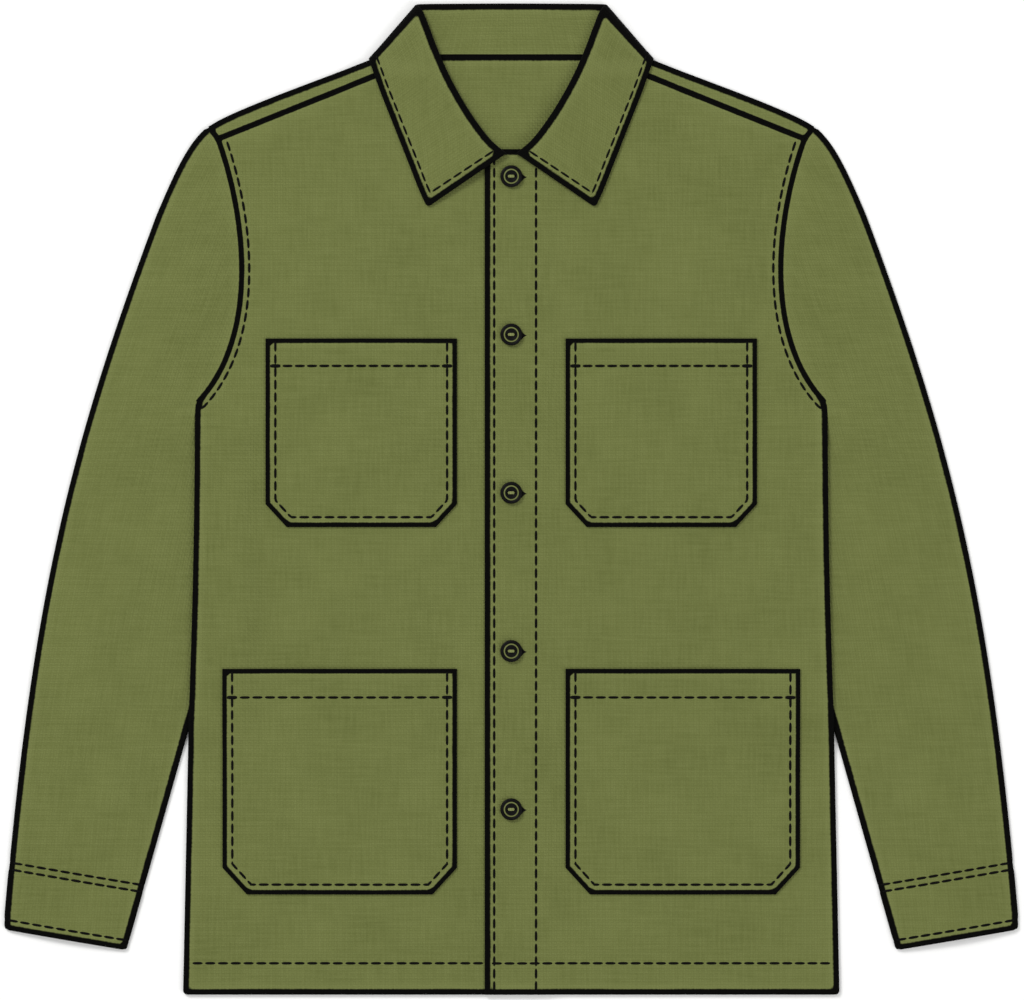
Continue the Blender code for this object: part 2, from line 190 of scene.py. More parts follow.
def from_line(x: Array, y: Array, line: Array) -> Array:
    """Distance of places from a line in the flat.

    Args:
        x: Places across.
        y: Places along.
        line: Points of the line, one a row.

    Returns:
        The distance of each place.
    """
    x, y = np.broadcast_arrays(x, y)
    places = np.stack((x.ravel(), y.ravel()), axis=1)
    return distance_to(places, line[:-1], line[1:]).reshape(x.shape)


def smooth_through(places: Array, run: Array, values: Array) -> Array:
    """Curve through values that never overshoots them.

    Between two places it is a cubic with a slope at each end. A slope is the weighted harmonic mean
    of the straight slopes on both sides, or zero where these differ in sign.

    Args:
        places: Where the curve is wanted.
        run: Places of the values, increasing.
        values: One row of values a place.

    Returns:
        One row a wanted place.
    """
    gap = np.diff(run)[:, None]
    straight = np.diff(values, axis=0) / gap
    before, after = straight[:-1], straight[1:]
    weight_a, weight_b = 2 * gap[1:] + gap[:-1], gap[1:] + 2 * gap[:-1]
    same = before * after > 0
    safe_a, safe_b = np.where(same, before, 1.0), np.where(same, after, 1.0)
    inner = np.where(same, (weight_a + weight_b) / (weight_a / safe_a + weight_b / safe_b), 0.0)
    slope = np.concatenate((straight[:1], inner, straight[-1:]))
    cell = np.clip(np.searchsorted(run, places, side="right") - 1, 0, len(run) - 2)
    h = gap[cell]
    t = (places[:, None] - run[cell][:, None]) / h
    return ((2 * t ** 3 - 3 * t ** 2 + 1) * values[cell] + (t ** 3 - 2 * t ** 2 + t) * h * slope[cell]
            + (3 * t ** 2 - 2 * t ** 3) * values[cell + 1] + (t ** 3 - t ** 2) * h * slope[cell + 1])


def grid_lines(start: float, stop: float, step: float, marks: Sequence[float] = ()) -> Array:
    """Places of grid lines: even steps, closer together at both ends and around each mark.

    Args:
        start: First line.
        stop: Last line.
        step: Spacing away from ends and marks.
        marks: Places of stitched rows and corners, which need a finer grid.

    Returns:
        The sorted places.
    """
    even = np.linspace(start, stop, max(3, int(round((stop - start) / step)) + 1))
    rim = np.array((0.0, 0.1, 0.3, 0.6, 1.3, 2.3))
    trough = np.array((-1.8, -0.9, 0.0, 0.9, 1.8))
    near = np.concatenate([start + rim, stop - rim] + [mark + trough for mark in marks])
    near = near[(near >= start) & (near <= stop)]
    lonely = np.abs(even[:, None] - near[None, :]).min(axis=1)
    return np.unique(np.round(np.concatenate((even[lonely > 0.4 * step], near)), 3))


def blunted(places: Array, at: tuple[int, int], beside: tuple[int, int], cut: float) -> Array:
    """Takes the sharpness off a corner of a sheet, as turning it right side out does.

    With q how far a place lies beyond a line across the corner at the distance cut before its tip,
    q becomes 0.4 cut (1 - exp(-q / (0.4 cut))), so the tip ends short and round.

    Args:
        places: X and Y, and Z if there is one, along the last axis.
        at: Row and column of the tip.
        beside: Steps in rows and in columns to a place further along each edge.
        cut: Length of the corner that changes.

    Returns:
        The moved places.
    """
    tip = places[at][:2]
    edges = (places[at[0] + beside[0], at[1]][:2] - tip, places[at[0], at[1] + beside[1]][:2] - tip)
    out = -unit(sum(unit(edge) for edge in edges))
    from_tip = places[..., :2] - tip
    near = np.linalg.norm(from_tip, axis=-1) < 3.0 * cut
    past = np.where(near, np.maximum(from_tip @ out + cut, 0.0), 0.0)
    soft = 0.4 * cut
    moved = places.copy()
    moved[..., :2] -= (past - soft * (1.0 - np.exp(-past / soft)))[..., None] * out
    return moved


# ---- relief of cloth

@dataclass(frozen=True)
class Crease:
    """Soft ridge on the flat jacket."""

    x: float
    y: float
    angle: float
    length: float
    width: float
    height: float
    bend: float = 0.0

    def relief(self, x: Array, y: Array) -> Array:
        """Height of the crease: a bell across its bent line, times a raised cosine along it.

        Args:
            x: Places across.
            y: Places along.

        Returns:
            The height at each place.
        """
        turn = np.radians(self.angle)
        along = (x - self.x) * np.cos(turn) + (y - self.y) * np.sin(turn)
        across = (y - self.y) * np.cos(turn) - (x - self.x) * np.sin(turn)
        across = across - self.bend * (2.0 * along / self.length) ** 2
        window = np.cos(np.pi * np.clip(along / self.length, -0.5, 0.5)) ** 2
        return self.height * np.exp(-((across / self.width) ** 2)) * window


def creased(creases: Sequence[Crease], x: Array, y: Array) -> Array:
    """Sum of the creases at each place."""
    return sum(crease.relief(x, y) for crease in creases)


def sewn_in(distance: Array, along: Array) -> Array:
    """Change of thickness at a stitched row.

    The row presses a bell-shaped trough into the cloth. Around it stand low puckers, two sines of
    unlike length along the row that fade away from it.

    Args:
        distance: Distance from the row.
        along: Place along the row.

    Returns:
        The change at each place.
    """
    trough = TROUGH[0] * np.exp(-((distance / TROUGH[1]) ** 2))
    wave = np.sin(along * 0.47) * 0.6 + np.sin(along * 0.19 + 1.3) * 0.4
    return trough + PUCKER[0] * wave * np.exp(-((distance / PUCKER[1]) ** 2))


def band(distance: Array, height: float) -> Array:
    """Level rise over a hidden second ply, which ends just beyond the row that holds it."""
    return height * ease(distance, *BAND_ENDS)


# ---- shells from grids

@dataclass
class Sheet:
    """Grid on a ply's middle surface, its outer side on the left of its rows and columns.

    With it go its place in the weave, the change of its thickness and the cells that stay, if not all.
    """

    points: Array
    weave: Array
    swell: Array
    keep: Array | None = None

    def turned(self) -> "Sheet":
        """The same sheet with its other side out: its columns run from the last one."""
        parts = (self.points, self.weave, self.swell, self.keep)
        return Sheet(*(part if part is None else part[:, ::-1] for part in parts))

    def faces(self) -> Array:
        """Faces of the grid.

        Returns:
            Corner indices of the kept cells, counter-clockwise seen from outside.
        """
        rows, columns = self.points.shape[:2]
        index = np.arange(rows * columns).reshape(rows, columns)
        quads = np.stack((index[:-1, :-1], index[:-1, 1:], index[1:, 1:], index[1:, :-1]), axis=-1)
        if self.keep is not None:
            quads = quads[self.keep]
        return quads.reshape(-1, 4)


def flat_sheet(x: Array, y: Array, z: Array, swell: Array) -> Sheet:
    """Sheet whose weave follows X and Y."""
    x, y, z, swell = np.broadcast_arrays(x, y, z, swell)
    return Sheet(np.stack((x, y, z), axis=-1), np.stack((x, y), axis=-1), swell)


def outward_normals(points: Array, faces: Array) -> Array:
    """Vertex normals, each the sum of the cross products of its faces' diagonals, made unit.

    Args:
        points: The vertices.
        faces: Corner indices of the faces.

    Returns:
        One normal a vertex.
    """
    across = np.cross(points[faces[:, 2]] - points[faces[:, 0]], points[faces[:, 3]] - points[faces[:, 1]])
    normals = np.zeros_like(points)
    for corner in range(4):
        np.add.at(normals, faces[:, corner], across)
    return unit(normals)


def boundary_edges(faces: Array) -> Array:
    """Directed edges that only one face uses.

    Args:
        faces: Corner indices of the faces.

    Returns:
        Start and end of each edge.
    """
    edges = np.concatenate([faces[:, (corner, (corner + 1) % 4)] for corner in range(4)])
    edges = edges[edges[:, 0] != edges[:, 1]]
    _, inverse, count = np.unique(np.sort(edges, axis=1), axis=0, return_inverse=True, return_counts=True)
    return edges[count[inverse.ravel()] == 1]


def between_rings(rings: Array) -> Array:
    """Faces between closed rings of points, each ring one row of indices."""
    turned = np.roll(rings, -1, axis=1)
    return np.stack((rings[:-1], rings[1:], turned[1:], turned[:-1]), axis=-1).reshape(-1, 4)


def closed_rings(rings: Array, first: int, last: int) -> Array:
    """Faces of rings of points that are closed to one point at each end.

    Args:
        rings: Indices of the points, one ring a row.
        first: Index of the point before the first ring.
        last: Index of the point after the last ring.

    Returns:
        Four corners a face. Where the rings close, two of them are the same.
    """
    turned = np.roll(rings[(0, -1), :], -1, axis=1)
    before, after = np.full_like(rings[0], first), np.full_like(rings[0], last)
    start = np.stack((before, before, rings[0], turned[0]), axis=-1)
    end = np.stack((after, after, turned[-1], rings[-1]), axis=-1)
    return np.concatenate((between_rings(rings), start, end))


def as_faces(corners: Array) -> list[list[int]]:
    """Faces as lists, a corner that repeats the one before it left out.

    Args:
        corners: Four corner indices a face.

    Returns:
        The faces that are left with three corners or four.
    """
    faces = [[corner for place, corner in enumerate(face) if corner != face[place - 1]]
             for face in corners.tolist()]
    return [face for face in faces if len(face) > 2]


def make_object(name: str, points: Array, faces: list[list[int]], material: Material,
                uv: Array | None = None, **values: Array) -> Piece:
    """Object at the origin from points in millimetres.

    Args:
        name: Name of the piece.
        points: Its vertices.
        faces: Corner indices of its faces.
        material: Its finish.
        uv: Place on the pattern for each vertex, in millimetres, or None.
        values: Named number for each vertex, which the finish reads.

    Returns:
        The new object, shaded smooth.
    """
    mesh = bpy.data.meshes.new(name)
    mesh.from_pydata((points * MM).tolist(), [], faces)
    if uv is not None:
        corners = np.empty(len(mesh.loops), dtype=np.int32)
        mesh.loops.foreach_get("vertex_index", corners)
        layer = mesh.uv_layers.new(name="cloth")
        layer.data.foreach_set("uv", (uv[corners] * MM).astype(np.float32).ravel())
    for key, numbers in values.items():
        shade = mesh.attributes.new(key, "FLOAT", "POINT")
        shade.data.foreach_set("value", np.asarray(numbers, dtype=np.float32))
    mesh.materials.append(material)
    mesh.validate()
    mesh.shade_smooth()
    piece = bpy.data.objects.new(name, mesh)
    bpy.context.scene.collection.objects.link(piece)
    return piece


def shell(name: str, sheets: Sequence[Sheet], thickness: float, material: Material,
          folds: Sequence[Array] = (), seams: Sequence[Array] = (), covered: Sequence[Array] = (),
          over: Sequence[Array] = (), ends: Sequence[Array] = (), painted_shade_band: float = 4.0,
          lift: float = 1.0) -> Piece:
    """Closed shell around one or more sheets that share their joining points.

    The half thickness is a quarter circle of the distance from the border, so every edge is rounded.
    The outer wall lies that far along the normals plus the sheet's swell, the inner wall that far
    against them, and a rim joins the two. "ditch" is the distance to the nearest edge or fold, shrunk
    so that the finish's near-black band, painted shade that stands in for the shadow in the ditches,
    comes out as wide as asked. Near a seam it isn't shrunk, because there the band is half on this
    piece and half on the next one.

    Args:
        name: Name of the piece.
        sheets: Grids whose equal points are welded.
        thickness: Thickness of the ply.
        material: Its finish.
        folds: Folds away from the border that get the band of painted shade too, as lines of points.
        seams: Lines along which the border is sewn to another piece.
        covered: Parts of the border under another part of the piece, kept from showing through it.
        over: Folds that pass over another part of the piece, kept from showing on it.
        ends: Places where the drawn line thins out to nothing.
        painted_shade_band: Width of the band of painted shade along edges, folds and seams.
        lift: How many times height counts in the distance to the rest of the border.

    Returns:
        The piece, with a UV map for the weave and the value "ditch".
    """
    points = np.concatenate([sheet.points.reshape(-1, 3) for sheet in sheets])
    weave = np.concatenate([sheet.weave.reshape(-1, 2) for sheet in sheets])
    swell = np.concatenate([sheet.swell.reshape(-1) for sheet in sheets])
    starts = np.cumsum([0] + [sheet.swell.size for sheet in sheets])
    faces = np.concatenate([sheet.faces() + start for sheet, start in zip(sheets, starts)])
    _, first, weld = np.unique(np.round(points, 2) + 0.0, axis=0, return_index=True, return_inverse=True)
    faces = weld.ravel()[faces]
    used, compact = np.unique(faces, return_inverse=True)
    faces = compact.reshape(-1, 4)
    points, weave, swell = points[first][used], weave[first][used], swell[first][used]
    normals = outward_normals(points, faces)
    edges = boundary_edges(faces)
    border = distance_to(points, points[edges[:, 0]], points[edges[:, 1]])
    round_off = np.sqrt(1.0 - (1.0 - np.clip(border / ROLLED_EDGE, 0.0, 1.0)) ** 2)
    inner = np.maximum(thickness / 2 * round_off, RIM)[:, None]
    outer = np.maximum((thickness / 2 + swell) * round_off, RIM)[:, None]
    shrunk = Canvas.line / painted_shade_band
    joined = np.full(len(points), np.inf)
    for line in seams:
        joined = np.minimum(joined, from_path(points, line))
    middles = (points[edges[:, 0]] + points[edges[:, 1]]) / 2
    bare = np.full(len(edges), True)
    for line in covered:
        bare &= from_path(middles, line) > COVERED_WITHIN
    raised = points * (1.0, 1.0, lift)
    near = distance_to(raised, raised[edges[bare, 0]], raised[edges[bare, 1]])
    ditch = near * (1.0 - (1.0 - shrunk) * ease(joined, *SEAM_FADES))
    drawn = [(line, COVERED_SHRUNK, COVERED_HEIGHT) for line in covered]
    drawn += [(line, shrunk, 1.0) for line in folds] + [(line, shrunk, OVER_HEIGHT) for line in over]
    for line, factor, height in drawn:
        ditch = np.minimum(ditch, factor * from_path(points, line, height))
    for place in ends:
        ditch = ditch + END_FILL * (1.0 - ease(np.linalg.norm(points - place, axis=1), *END_FADES))
    count = len(points)
    rims = np.stack((edges[:, 1], edges[:, 0], edges[:, 0] + count, edges[:, 1] + count), axis=1)
    walls = np.concatenate((faces, faces[:, ::-1] + count, rims))
    both = np.concatenate((points + normals * outer, points - normals * inner))
    weave, ditch = np.concatenate((weave, weave)), np.concatenate((ditch, ditch))
    return make_object(name, both, as_faces(walls), material, weave, ditch=ditch)


# ---- finishes

def linear(code: str) -> tuple[float, float, float, float]:
    """Turns an sRGB hex colour into a linear one.

    Args:
        code: The colour, as "#" and six hex digits.

    Returns:
        Red, green, blue and full opacity.
    """
    part = np.array([int(code[place:place + 2], 16) for place in (1, 3, 5)]) / 255.0
    red, green, blue = np.where(part <= 0.04045, part / 12.92, ((part + 0.055) / 1.055) ** 2.4)
    return float(red), float(green), float(blue), 1.0


def add(tree: bpy.types.NodeTree, kind: str, inputs: dict[Any, Any] | None = None,
        **settings: Any) -> bpy.types.Node:
    """Adds a node.

    Args:
        tree: Node tree of the material.
        kind: Blender's name of the node, without "ShaderNode".
        inputs: Value or linked output for each input, by its name or number.
        settings: The node's own settings.

    Returns:
        The new node.
    """
    node = tree.nodes.new("ShaderNode" + kind)
    for key, value in settings.items():
        setattr(node, key, value)
    for key, value in (inputs or {}).items():
        if isinstance(value, bpy.types.NodeSocket):
            tree.links.new(value, node.inputs[key])
        else:
            node.inputs[key].default_value = value
    return node


def blank_material(name: str) -> tuple[Material, bpy.types.NodeTree]:
    """New material without nodes.

    Args:
        name: Its name.

    Returns:
        The material and its empty node tree.
    """
    material = bpy.data.materials.new(name)
    material.use_nodes = True
    material.node_tree.nodes.clear()
    return material, material.node_tree


@dataclass(frozen=True)
class Canvas:
    """Cotton canvas, woven from dyed yarn and washed once.

    To the eye: matt, with a fine plain weave whose hollows are darkened as painted shade, thicker
    yarns here and there, a soft bloom at grazing angles, a pale rub beside each edge, and a
    near-black band of painted shade along seams, folds and edges, standing in for the shadow in
    their ditches.
    """

    name: str = "Cotton canvas, plain weave"
    colour: str = "#6E7542"
    # Darker tone: the dye's patches, and the painted shade in the weave's hollows.
    deep_dye_and_shade: str = "#656C3B"
    rubbed: str = "#7D8450"
    # Colour of the painted shade band along seams, folds and edges, which stands in for the shadow in their
    # ditches.
    painted_shade_band: str = "#040403"
    # Canvas of this weight has 0.55 mm yarns. They are drawn four times as wide, so that they show.
    yarn: float = 2.2
    line: float = 2.4
    painted_shade_fade: Point = (0.3, 0.8)      # beyond the line's width, where the painted shade band thins out and ends
    rub: float = 3.5
    warp_slubs: tuple[float, float, float] = (0.5, 0.035, 1.0)
    weft_slubs: tuple[float, float, float] = (0.03, 0.42, 1.0)

    def build(self) -> Material:
        """Makes the material.

        A checker picks warp or weft, each a row of sine ridges one yarn wide, whose hollows get painted
        shade. Stretched noise thickens single yarns, and wide noise varies the dye.

        Returns:
            The material.
        """
        material, tree = blank_material(self.name)
        place = add(tree, "UVMap", uv_map="cloth").outputs["UV"]
        cloth = add(tree, "Mapping", {"Vector": place, "Scale": (1 / MM,) * 3}).outputs["Vector"]
        ridges, slubs = [], []
        for way, stretch in (("X", self.warp_slubs), ("Y", self.weft_slubs)):
            wave = add(tree, "TexWave", {"Vector": cloth, "Scale": np.pi / (10.0 * self.yarn),
                                         "Distortion": 0.35, "Detail": 1.0, "Detail Scale": 0.4},
                       bands_direction=way)
            along = add(tree, "Mapping", {"Vector": cloth, "Scale": stretch}).outputs["Vector"]
            noise = add(tree, "TexNoise", {"Vector": along, "Scale": 1.0, "Detail": 3.0, "Roughness": 0.6})
            ridges.append(wave.outputs["Fac"])
            slubs.append(noise.outputs["Fac"])
        over = add(tree, "TexChecker", {"Vector": cloth, "Scale": 1.0 / self.yarn}).outputs["Fac"]
        weave = add(tree, "Mix", {0: over, 2: ridges[0], 3: ridges[1]}).outputs[0]
        yarns = add(tree, "Mix", {0: 0.5, 2: slubs[0], 3: slubs[1]}).outputs[0]
        dye = add(tree, "TexNoise", {"Vector": cloth, "Scale": 0.018, "Detail": 4.0, "Roughness": 0.55})
        edge = add(tree, "Attribute", attribute_name="ditch").outputs["Fac"]
        ragged = add(tree, "Math", {0: edge, 1: yarns}, operation="ADD").outputs[0]
        start, full = (self.line + beyond for beyond in self.painted_shade_fade)
        # Each layer: what drives it, where it starts and is full, its share at both, its colour.
        layers = ((dye.outputs["Fac"], 0.35, 0.65, 0.0, 1.0, self.deep_dye_and_shade),
                  (yarns, 0.38, 0.62, 0.0, 0.5, self.rubbed),
                  # Painted shade: the weave's hollows are darkened towards the darker tone.
                  (weave, 0.0, 1.0, 0.55, 0.0, self.deep_dye_and_shade),
                  (edge, self.line, self.line + self.rub, 0.35, 0.0, self.rubbed),
                  # Painted shade: near-black band along seams, folds and edges, standing in for the shadow in
                  # their ditches.
                  (ragged, start, full, 1.0, 0.0, self.painted_shade_band))
        colour = linear(self.colour)
        for source, low, high, first, last, shade in layers:
            share = add(tree, "MapRange", {"Value": source, "From Min": low, "From Max": high,
                                           "To Min": first, "To Max": last}).outputs[0]
            colour = add(tree, "Mix", {0: share, 6: colour, 7: linear(shade)}, data_type="RGBA").outputs[2]
        height = add(tree, "Math", {0: weave, 1: yarns}, operation="ADD")
        bump = add(tree, "Bump", {"Strength": 0.8, "Distance": 0.3 * MM, "Height": height.outputs[0]})
        rough = add(tree, "MapRange", {"Value": weave, "To Min": 0.92, "To Max": 0.8})
        shader = add(tree, "BsdfPrincipled", {"Base Color": colour, "Roughness": rough.outputs[0],
                                              "Normal": bump.outputs[0], "Specular IOR Level": 0.05,
                                              "Sheen Weight": 0.02, "Sheen Roughness": 0.5})
        add(tree, "OutputMaterial", {"Surface": shader.outputs[0]})
        return material


@dataclass(frozen=True)
class Thread:
    """Sewing thread of waxed cotton, three plies twisted together, with a soft low shine."""

    name: str
    colour: str
    # Lighter colour, painted on the ply crests as a highlight.
    light: str
    twist: float = 1.5      # from one turn of the twist to the next, drawn twice as long as it is
    slant: float = 0.6

    def build(self) -> Material:
        """Makes the material: slanting sine ridges in the thread's own U and V, their crests painted lighter
        as highlights.

        Returns:
            The material.
        """
        material, tree = blank_material(self.name)
        place = add(tree, "UVMap", uv_map="cloth").outputs["UV"]
        strand = add(tree, "Mapping", {"Vector": place, "Scale": (1 / MM,) * 3,
                                       "Rotation": (0.0, 0.0, self.slant)}).outputs["Vector"]
        plies = add(tree, "TexWave", {"Vector": strand, "Scale": np.pi / (10.0 * self.twist),
                                      "Distortion": 0.4, "Detail": 1.0})
        # Painted highlight and shade: the ply crests take the lighter colour, the grooves the darker one.
        colour = add(tree, "Mix", {0: plies.outputs["Fac"], 6: linear(self.colour), 7: linear(self.light)},
                     data_type="RGBA")
        bump = add(tree, "Bump", {"Strength": 0.5, "Distance": 0.15 * MM, "Height": plies.outputs["Fac"]})
        shader = add(tree, "BsdfPrincipled", {"Base Color": colour.outputs[2], "Roughness": 0.6,
                                              "Normal": bump.outputs[0], "Specular IOR Level": 0.06})
        add(tree, "OutputMaterial", {"Surface": shader.outputs[0]})
        return material


@dataclass(frozen=True)
class Horn:
    """Dyed buffalo horn, turned and polished, with an olive lacquer line in its groove.

    To the eye: black with faint grey-brown grain, a soft shine, and fine turning marks on the rim.
    """

    name: str = "Black horn, turned and polished"
    colour: str = "#030303"
    grain: str = "#110F0C"
    lacquer: str = "#6F7643"
    groove: Point = (5.15, 6.15)
    groove_soft: float = 0.1
    turning: float = 21.0

    def build(self) -> Material:
        """Makes the material: stretched noise for the grain, and a band of radius for the lacquer.

        Returns:
            The material.
        """
        material, tree = blank_material(self.name)
        place = add(tree, "TexCoord").outputs["Object"]
        fibre = add(tree, "Mapping", {"Vector": place, "Scale": (160.0, 900.0, 400.0),
                                      "Rotation": (0.0, 0.0, 0.5)}).outputs["Vector"]
        grain = add(tree, "TexNoise", {"Vector": fibre, "Scale": 1.0, "Detail": 5.0, "Roughness": 0.6})
        streak = add(tree, "MapRange", {"Value": grain.outputs["Fac"], "From Min": 0.5, "From Max": 0.75})
        body = add(tree, "Mix", {0: streak.outputs[0], 6: linear(self.colour), 7: linear(self.grain)},
                   data_type="RGBA")
        radius = add(tree, "Attribute", attribute_name="radius").outputs["Fac"]
        (low, high), soft = self.groove, self.groove_soft
        ends = ((low - soft, low + soft), (high + soft, high - soft))
        sides = [add(tree, "MapRange", {"Value": radius, "From Min": start, "From Max": end}).outputs[0]
                 for start, end in ends]
        line = add(tree, "Math", {0: sides[0], 1: sides[1]}, operation="MULTIPLY")
        colour = add(tree, "Mix", {0: line.outputs[0], 6: body.outputs[2], 7: linear(self.lacquer)},
                     data_type="RGBA")
        rough = add(tree, "MapRange", {"Value": grain.outputs["Fac"], "To Min": 0.38, "To Max": 0.55})
        turned = add(tree, "Math", {0: radius, 1: self.turning}, operation="MULTIPLY")
        marks = add(tree, "Math", {0: turned.outputs[0]}, operation="SINE")
        bump = add(tree, "Bump", {"Strength": 0.12, "Distance": 0.05 * MM, "Height": marks.outputs[0]})
        shader = add(tree, "BsdfPrincipled", {"Base Color": colour.outputs[2], "Roughness": rough.outputs[0],
                                              "Normal": bump.outputs[0], "IOR": 1.54,
                                              "Specular IOR Level": 0.1})
        add(tree, "OutputMaterial", {"Surface": shader.outputs[0]})
        return material


@dataclass(frozen=True)
class Paper:
    """Matt white card of the studio table, with a barely visible tooth."""

    name: str = "White card, matt"
    colour: str = "#FDFDFC"

    def build(self) -> Material:
        """Makes the material: one colour, with noise a fifth of a millimetre deep.

        Returns:
            The material.
        """
        material, tree = blank_material(self.name)
        place = add(tree, "TexCoord").outputs["Object"]
        tooth = add(tree, "TexNoise", {"Vector": place, "Scale": 400.0, "Detail": 2.0})
        bump = add(tree, "Bump", {"Strength": 0.05, "Distance": 0.2 * MM, "Height": tooth.outputs["Fac"]})
        shader = add(tree, "BsdfPrincipled", {"Base Color": linear(self.colour), "Roughness": 0.9,
                                              "Normal": bump.outputs[0], "Specular IOR Level": 0.1})
        add(tree, "OutputMaterial", {"Surface": shader.outputs[0]})
        return material


# ---- topstitching

@dataclass
class ThreadWork:
    """Lengths of thread, gathered into one piece."""

    points: list[Array] = field(default_factory=list)
    quads: list[Array] = field(default_factory=list)
    coils: list[Array] = field(default_factory=list)

    def gather(self, points: Array, quads: Array, coil: Array) -> None:
        """Adds a length of thread.

        Args:
            points: Its points, one a row.
            quads: Four corners a face, counted within these points.
            coil: U along the thread and V around it, for each point.
        """
        self.quads.append(quads + sum(len(part) for part in self.points))
        self.points.append(points)
        self.coils.append(coil)

    def build(self, name: str, material: Material) -> Piece:
        """Makes the piece.

        Args:
            name: Its name.
            material: Its finish.

        Returns:
            The piece, without the points that no face uses.
        """
        used, compact = np.unique(np.concatenate(self.quads), return_inverse=True)
        points, coils = np.concatenate(self.points)[used], np.concatenate(self.coils)[used]
        return make_object(name, points, as_faces(compact.reshape(-1, 4)), material, coils)


@dataclass
class Topstitch(ThreadWork):
    """Rows of separate heavy stitches.

    Each stitch is a closed tube that lies along its row and dives into the cloth at both ends.
    """

    length: float = 9.4
    pitch: float = 10.3
    width: float = 2.05
    height: float = 0.5
    rise: float = 0.5           # shares of the height
    dive: float = 1.4
    thick: float = 0.8
    sides: int = 6
    stations: tuple[float, ...] = (-1.0, -0.86, -0.5, 0.0, 0.5, 0.86, 1.0)
    nudge: float = 0.4          # half of the length over which the row's direction is taken
    sampled: float = 2.0
    tack_apart: float = 0.8
    around: float = 4.0         # V once around the thread

    def sew(self, line: Array, normals: Array, length: float | None = None) -> None:
        """Adds a row along a line on the cloth's outer surface.

        With s the place along the row, c a stitch's middle and t in -1..1 along it, a stitch's centre
        line is the row's point at s = c + t length/2, raised by height (rise - dive t^4) along the
        normal. Its half width and half height shrink by sqrt(1 - t^4).

        Args:
            line: Points of the row.
            normals: Outward normal at each point.
            length: Length of one stitch, where the row differs.
        """
        run = run_of(line)
        stitch = length or self.length
        count = max(1, int(round(run[-1] / (self.pitch * stitch / self.length))))
        middles = (np.arange(count) + 0.5) * run[-1] / count
        t = np.array(self.stations)
        s = middles[:, None] + t[None, :] * stitch / 2

        def at(values: Array, place: Array) -> Array:
            """Values along the row at given places."""
            return np.stack([np.interp(place, run, values[:, axis]) for axis in range(3)], axis=-1)

        up = unit(at(normals, s))
        across = unit(np.cross(up, at(line, s + self.nudge) - at(line, s - self.nudge)))
        centre = at(line, s) + up * (self.height * (self.rise - self.dive * t ** 4))[None, :, None]
        taper = np.sqrt(np.maximum(1.0 - t ** 4, 0.0))[1:-1, None]
        angle = np.arange(self.sides) * 2.0 * np.pi / self.sides
        wide = self.width / 2 * taper * np.cos(angle)[None, :]
        tall = self.height * self.thick * taper * np.sin(angle)[None, :]
        rings = (centre[:, 1:-1, None] + across[:, 1:-1, None] * wide[None, :, :, None]
                 + up[:, 1:-1, None] * tall[None, :, :, None])
        ring = np.arange(tall.size).reshape(tall.shape)
        one = closed_rings(ring, ring.size, ring.size + 1)
        quads = one[None] + np.arange(count)[:, None, None] * (ring.size + 2)
        body = np.concatenate((rings.reshape(count, -1, 3), centre[:, (0, -1)]), axis=1)
        around = np.broadcast_to(self.around * angle / (2.0 * np.pi), (count, *ring.shape))
        along = np.broadcast_to(s[:, 1:-1, None], around.shape)
        coil = np.stack((along, around), axis=-1).reshape(count, -1, 2)
        tip_coil = np.stack((s[:, (0, -1)], np.zeros((count, 2))), axis=-1)
        coil = np.concatenate((coil, tip_coil), axis=1)
        self.gather(body.reshape(-1, 3), quads.reshape(-1, 4), coil.reshape(-1, 2))

    def sew_on(self, surface: Surface, corners: Sequence[Point] | Array,
               length: float | None = None, down: bool = False) -> None:
        """Adds a row through corners, laid on a surface given as a height over X and Y.

        The normal is the cross product of the surface's slopes, taken one millimetre apart.

        Args:
            surface: Height of the outer surface.
            corners: Corners of the row.
            length: Length of one stitch, where the row differs.
            down: Whether the surface faces down.
        """
        path = np.array(corners, dtype=float)
        run = run_of(path)
        even = np.linspace(0.0, run[-1], max(2, int(run[-1] / self.sampled)))
        places = np.unique(np.concatenate((even, run)))
        x = np.interp(places, run, path[:, 0])
        y = np.interp(places, run, path[:, 1])
        slope_x = surface(x + 0.5, y) - surface(x - 0.5, y)
        slope_y = surface(x, y + 0.5) - surface(x, y - 0.5)
        up = np.stack((-slope_x, -slope_y, np.ones_like(x)), axis=-1)
        self.sew(np.stack((x, y, surface(x, y)), axis=-1), -up if down else up, length)

    def tack(self, surface: Surface, x: float, y: float, width: float) -> None:
        """Adds a bar tack: two short stitches side by side across the end of a row."""
        for shift in (-self.tack_apart / 2, self.tack_apart / 2):
            self.sew_on(surface, ((x - width / 2, y + shift), (x + width / 2, y + shift)), width)


# ---- form of the body

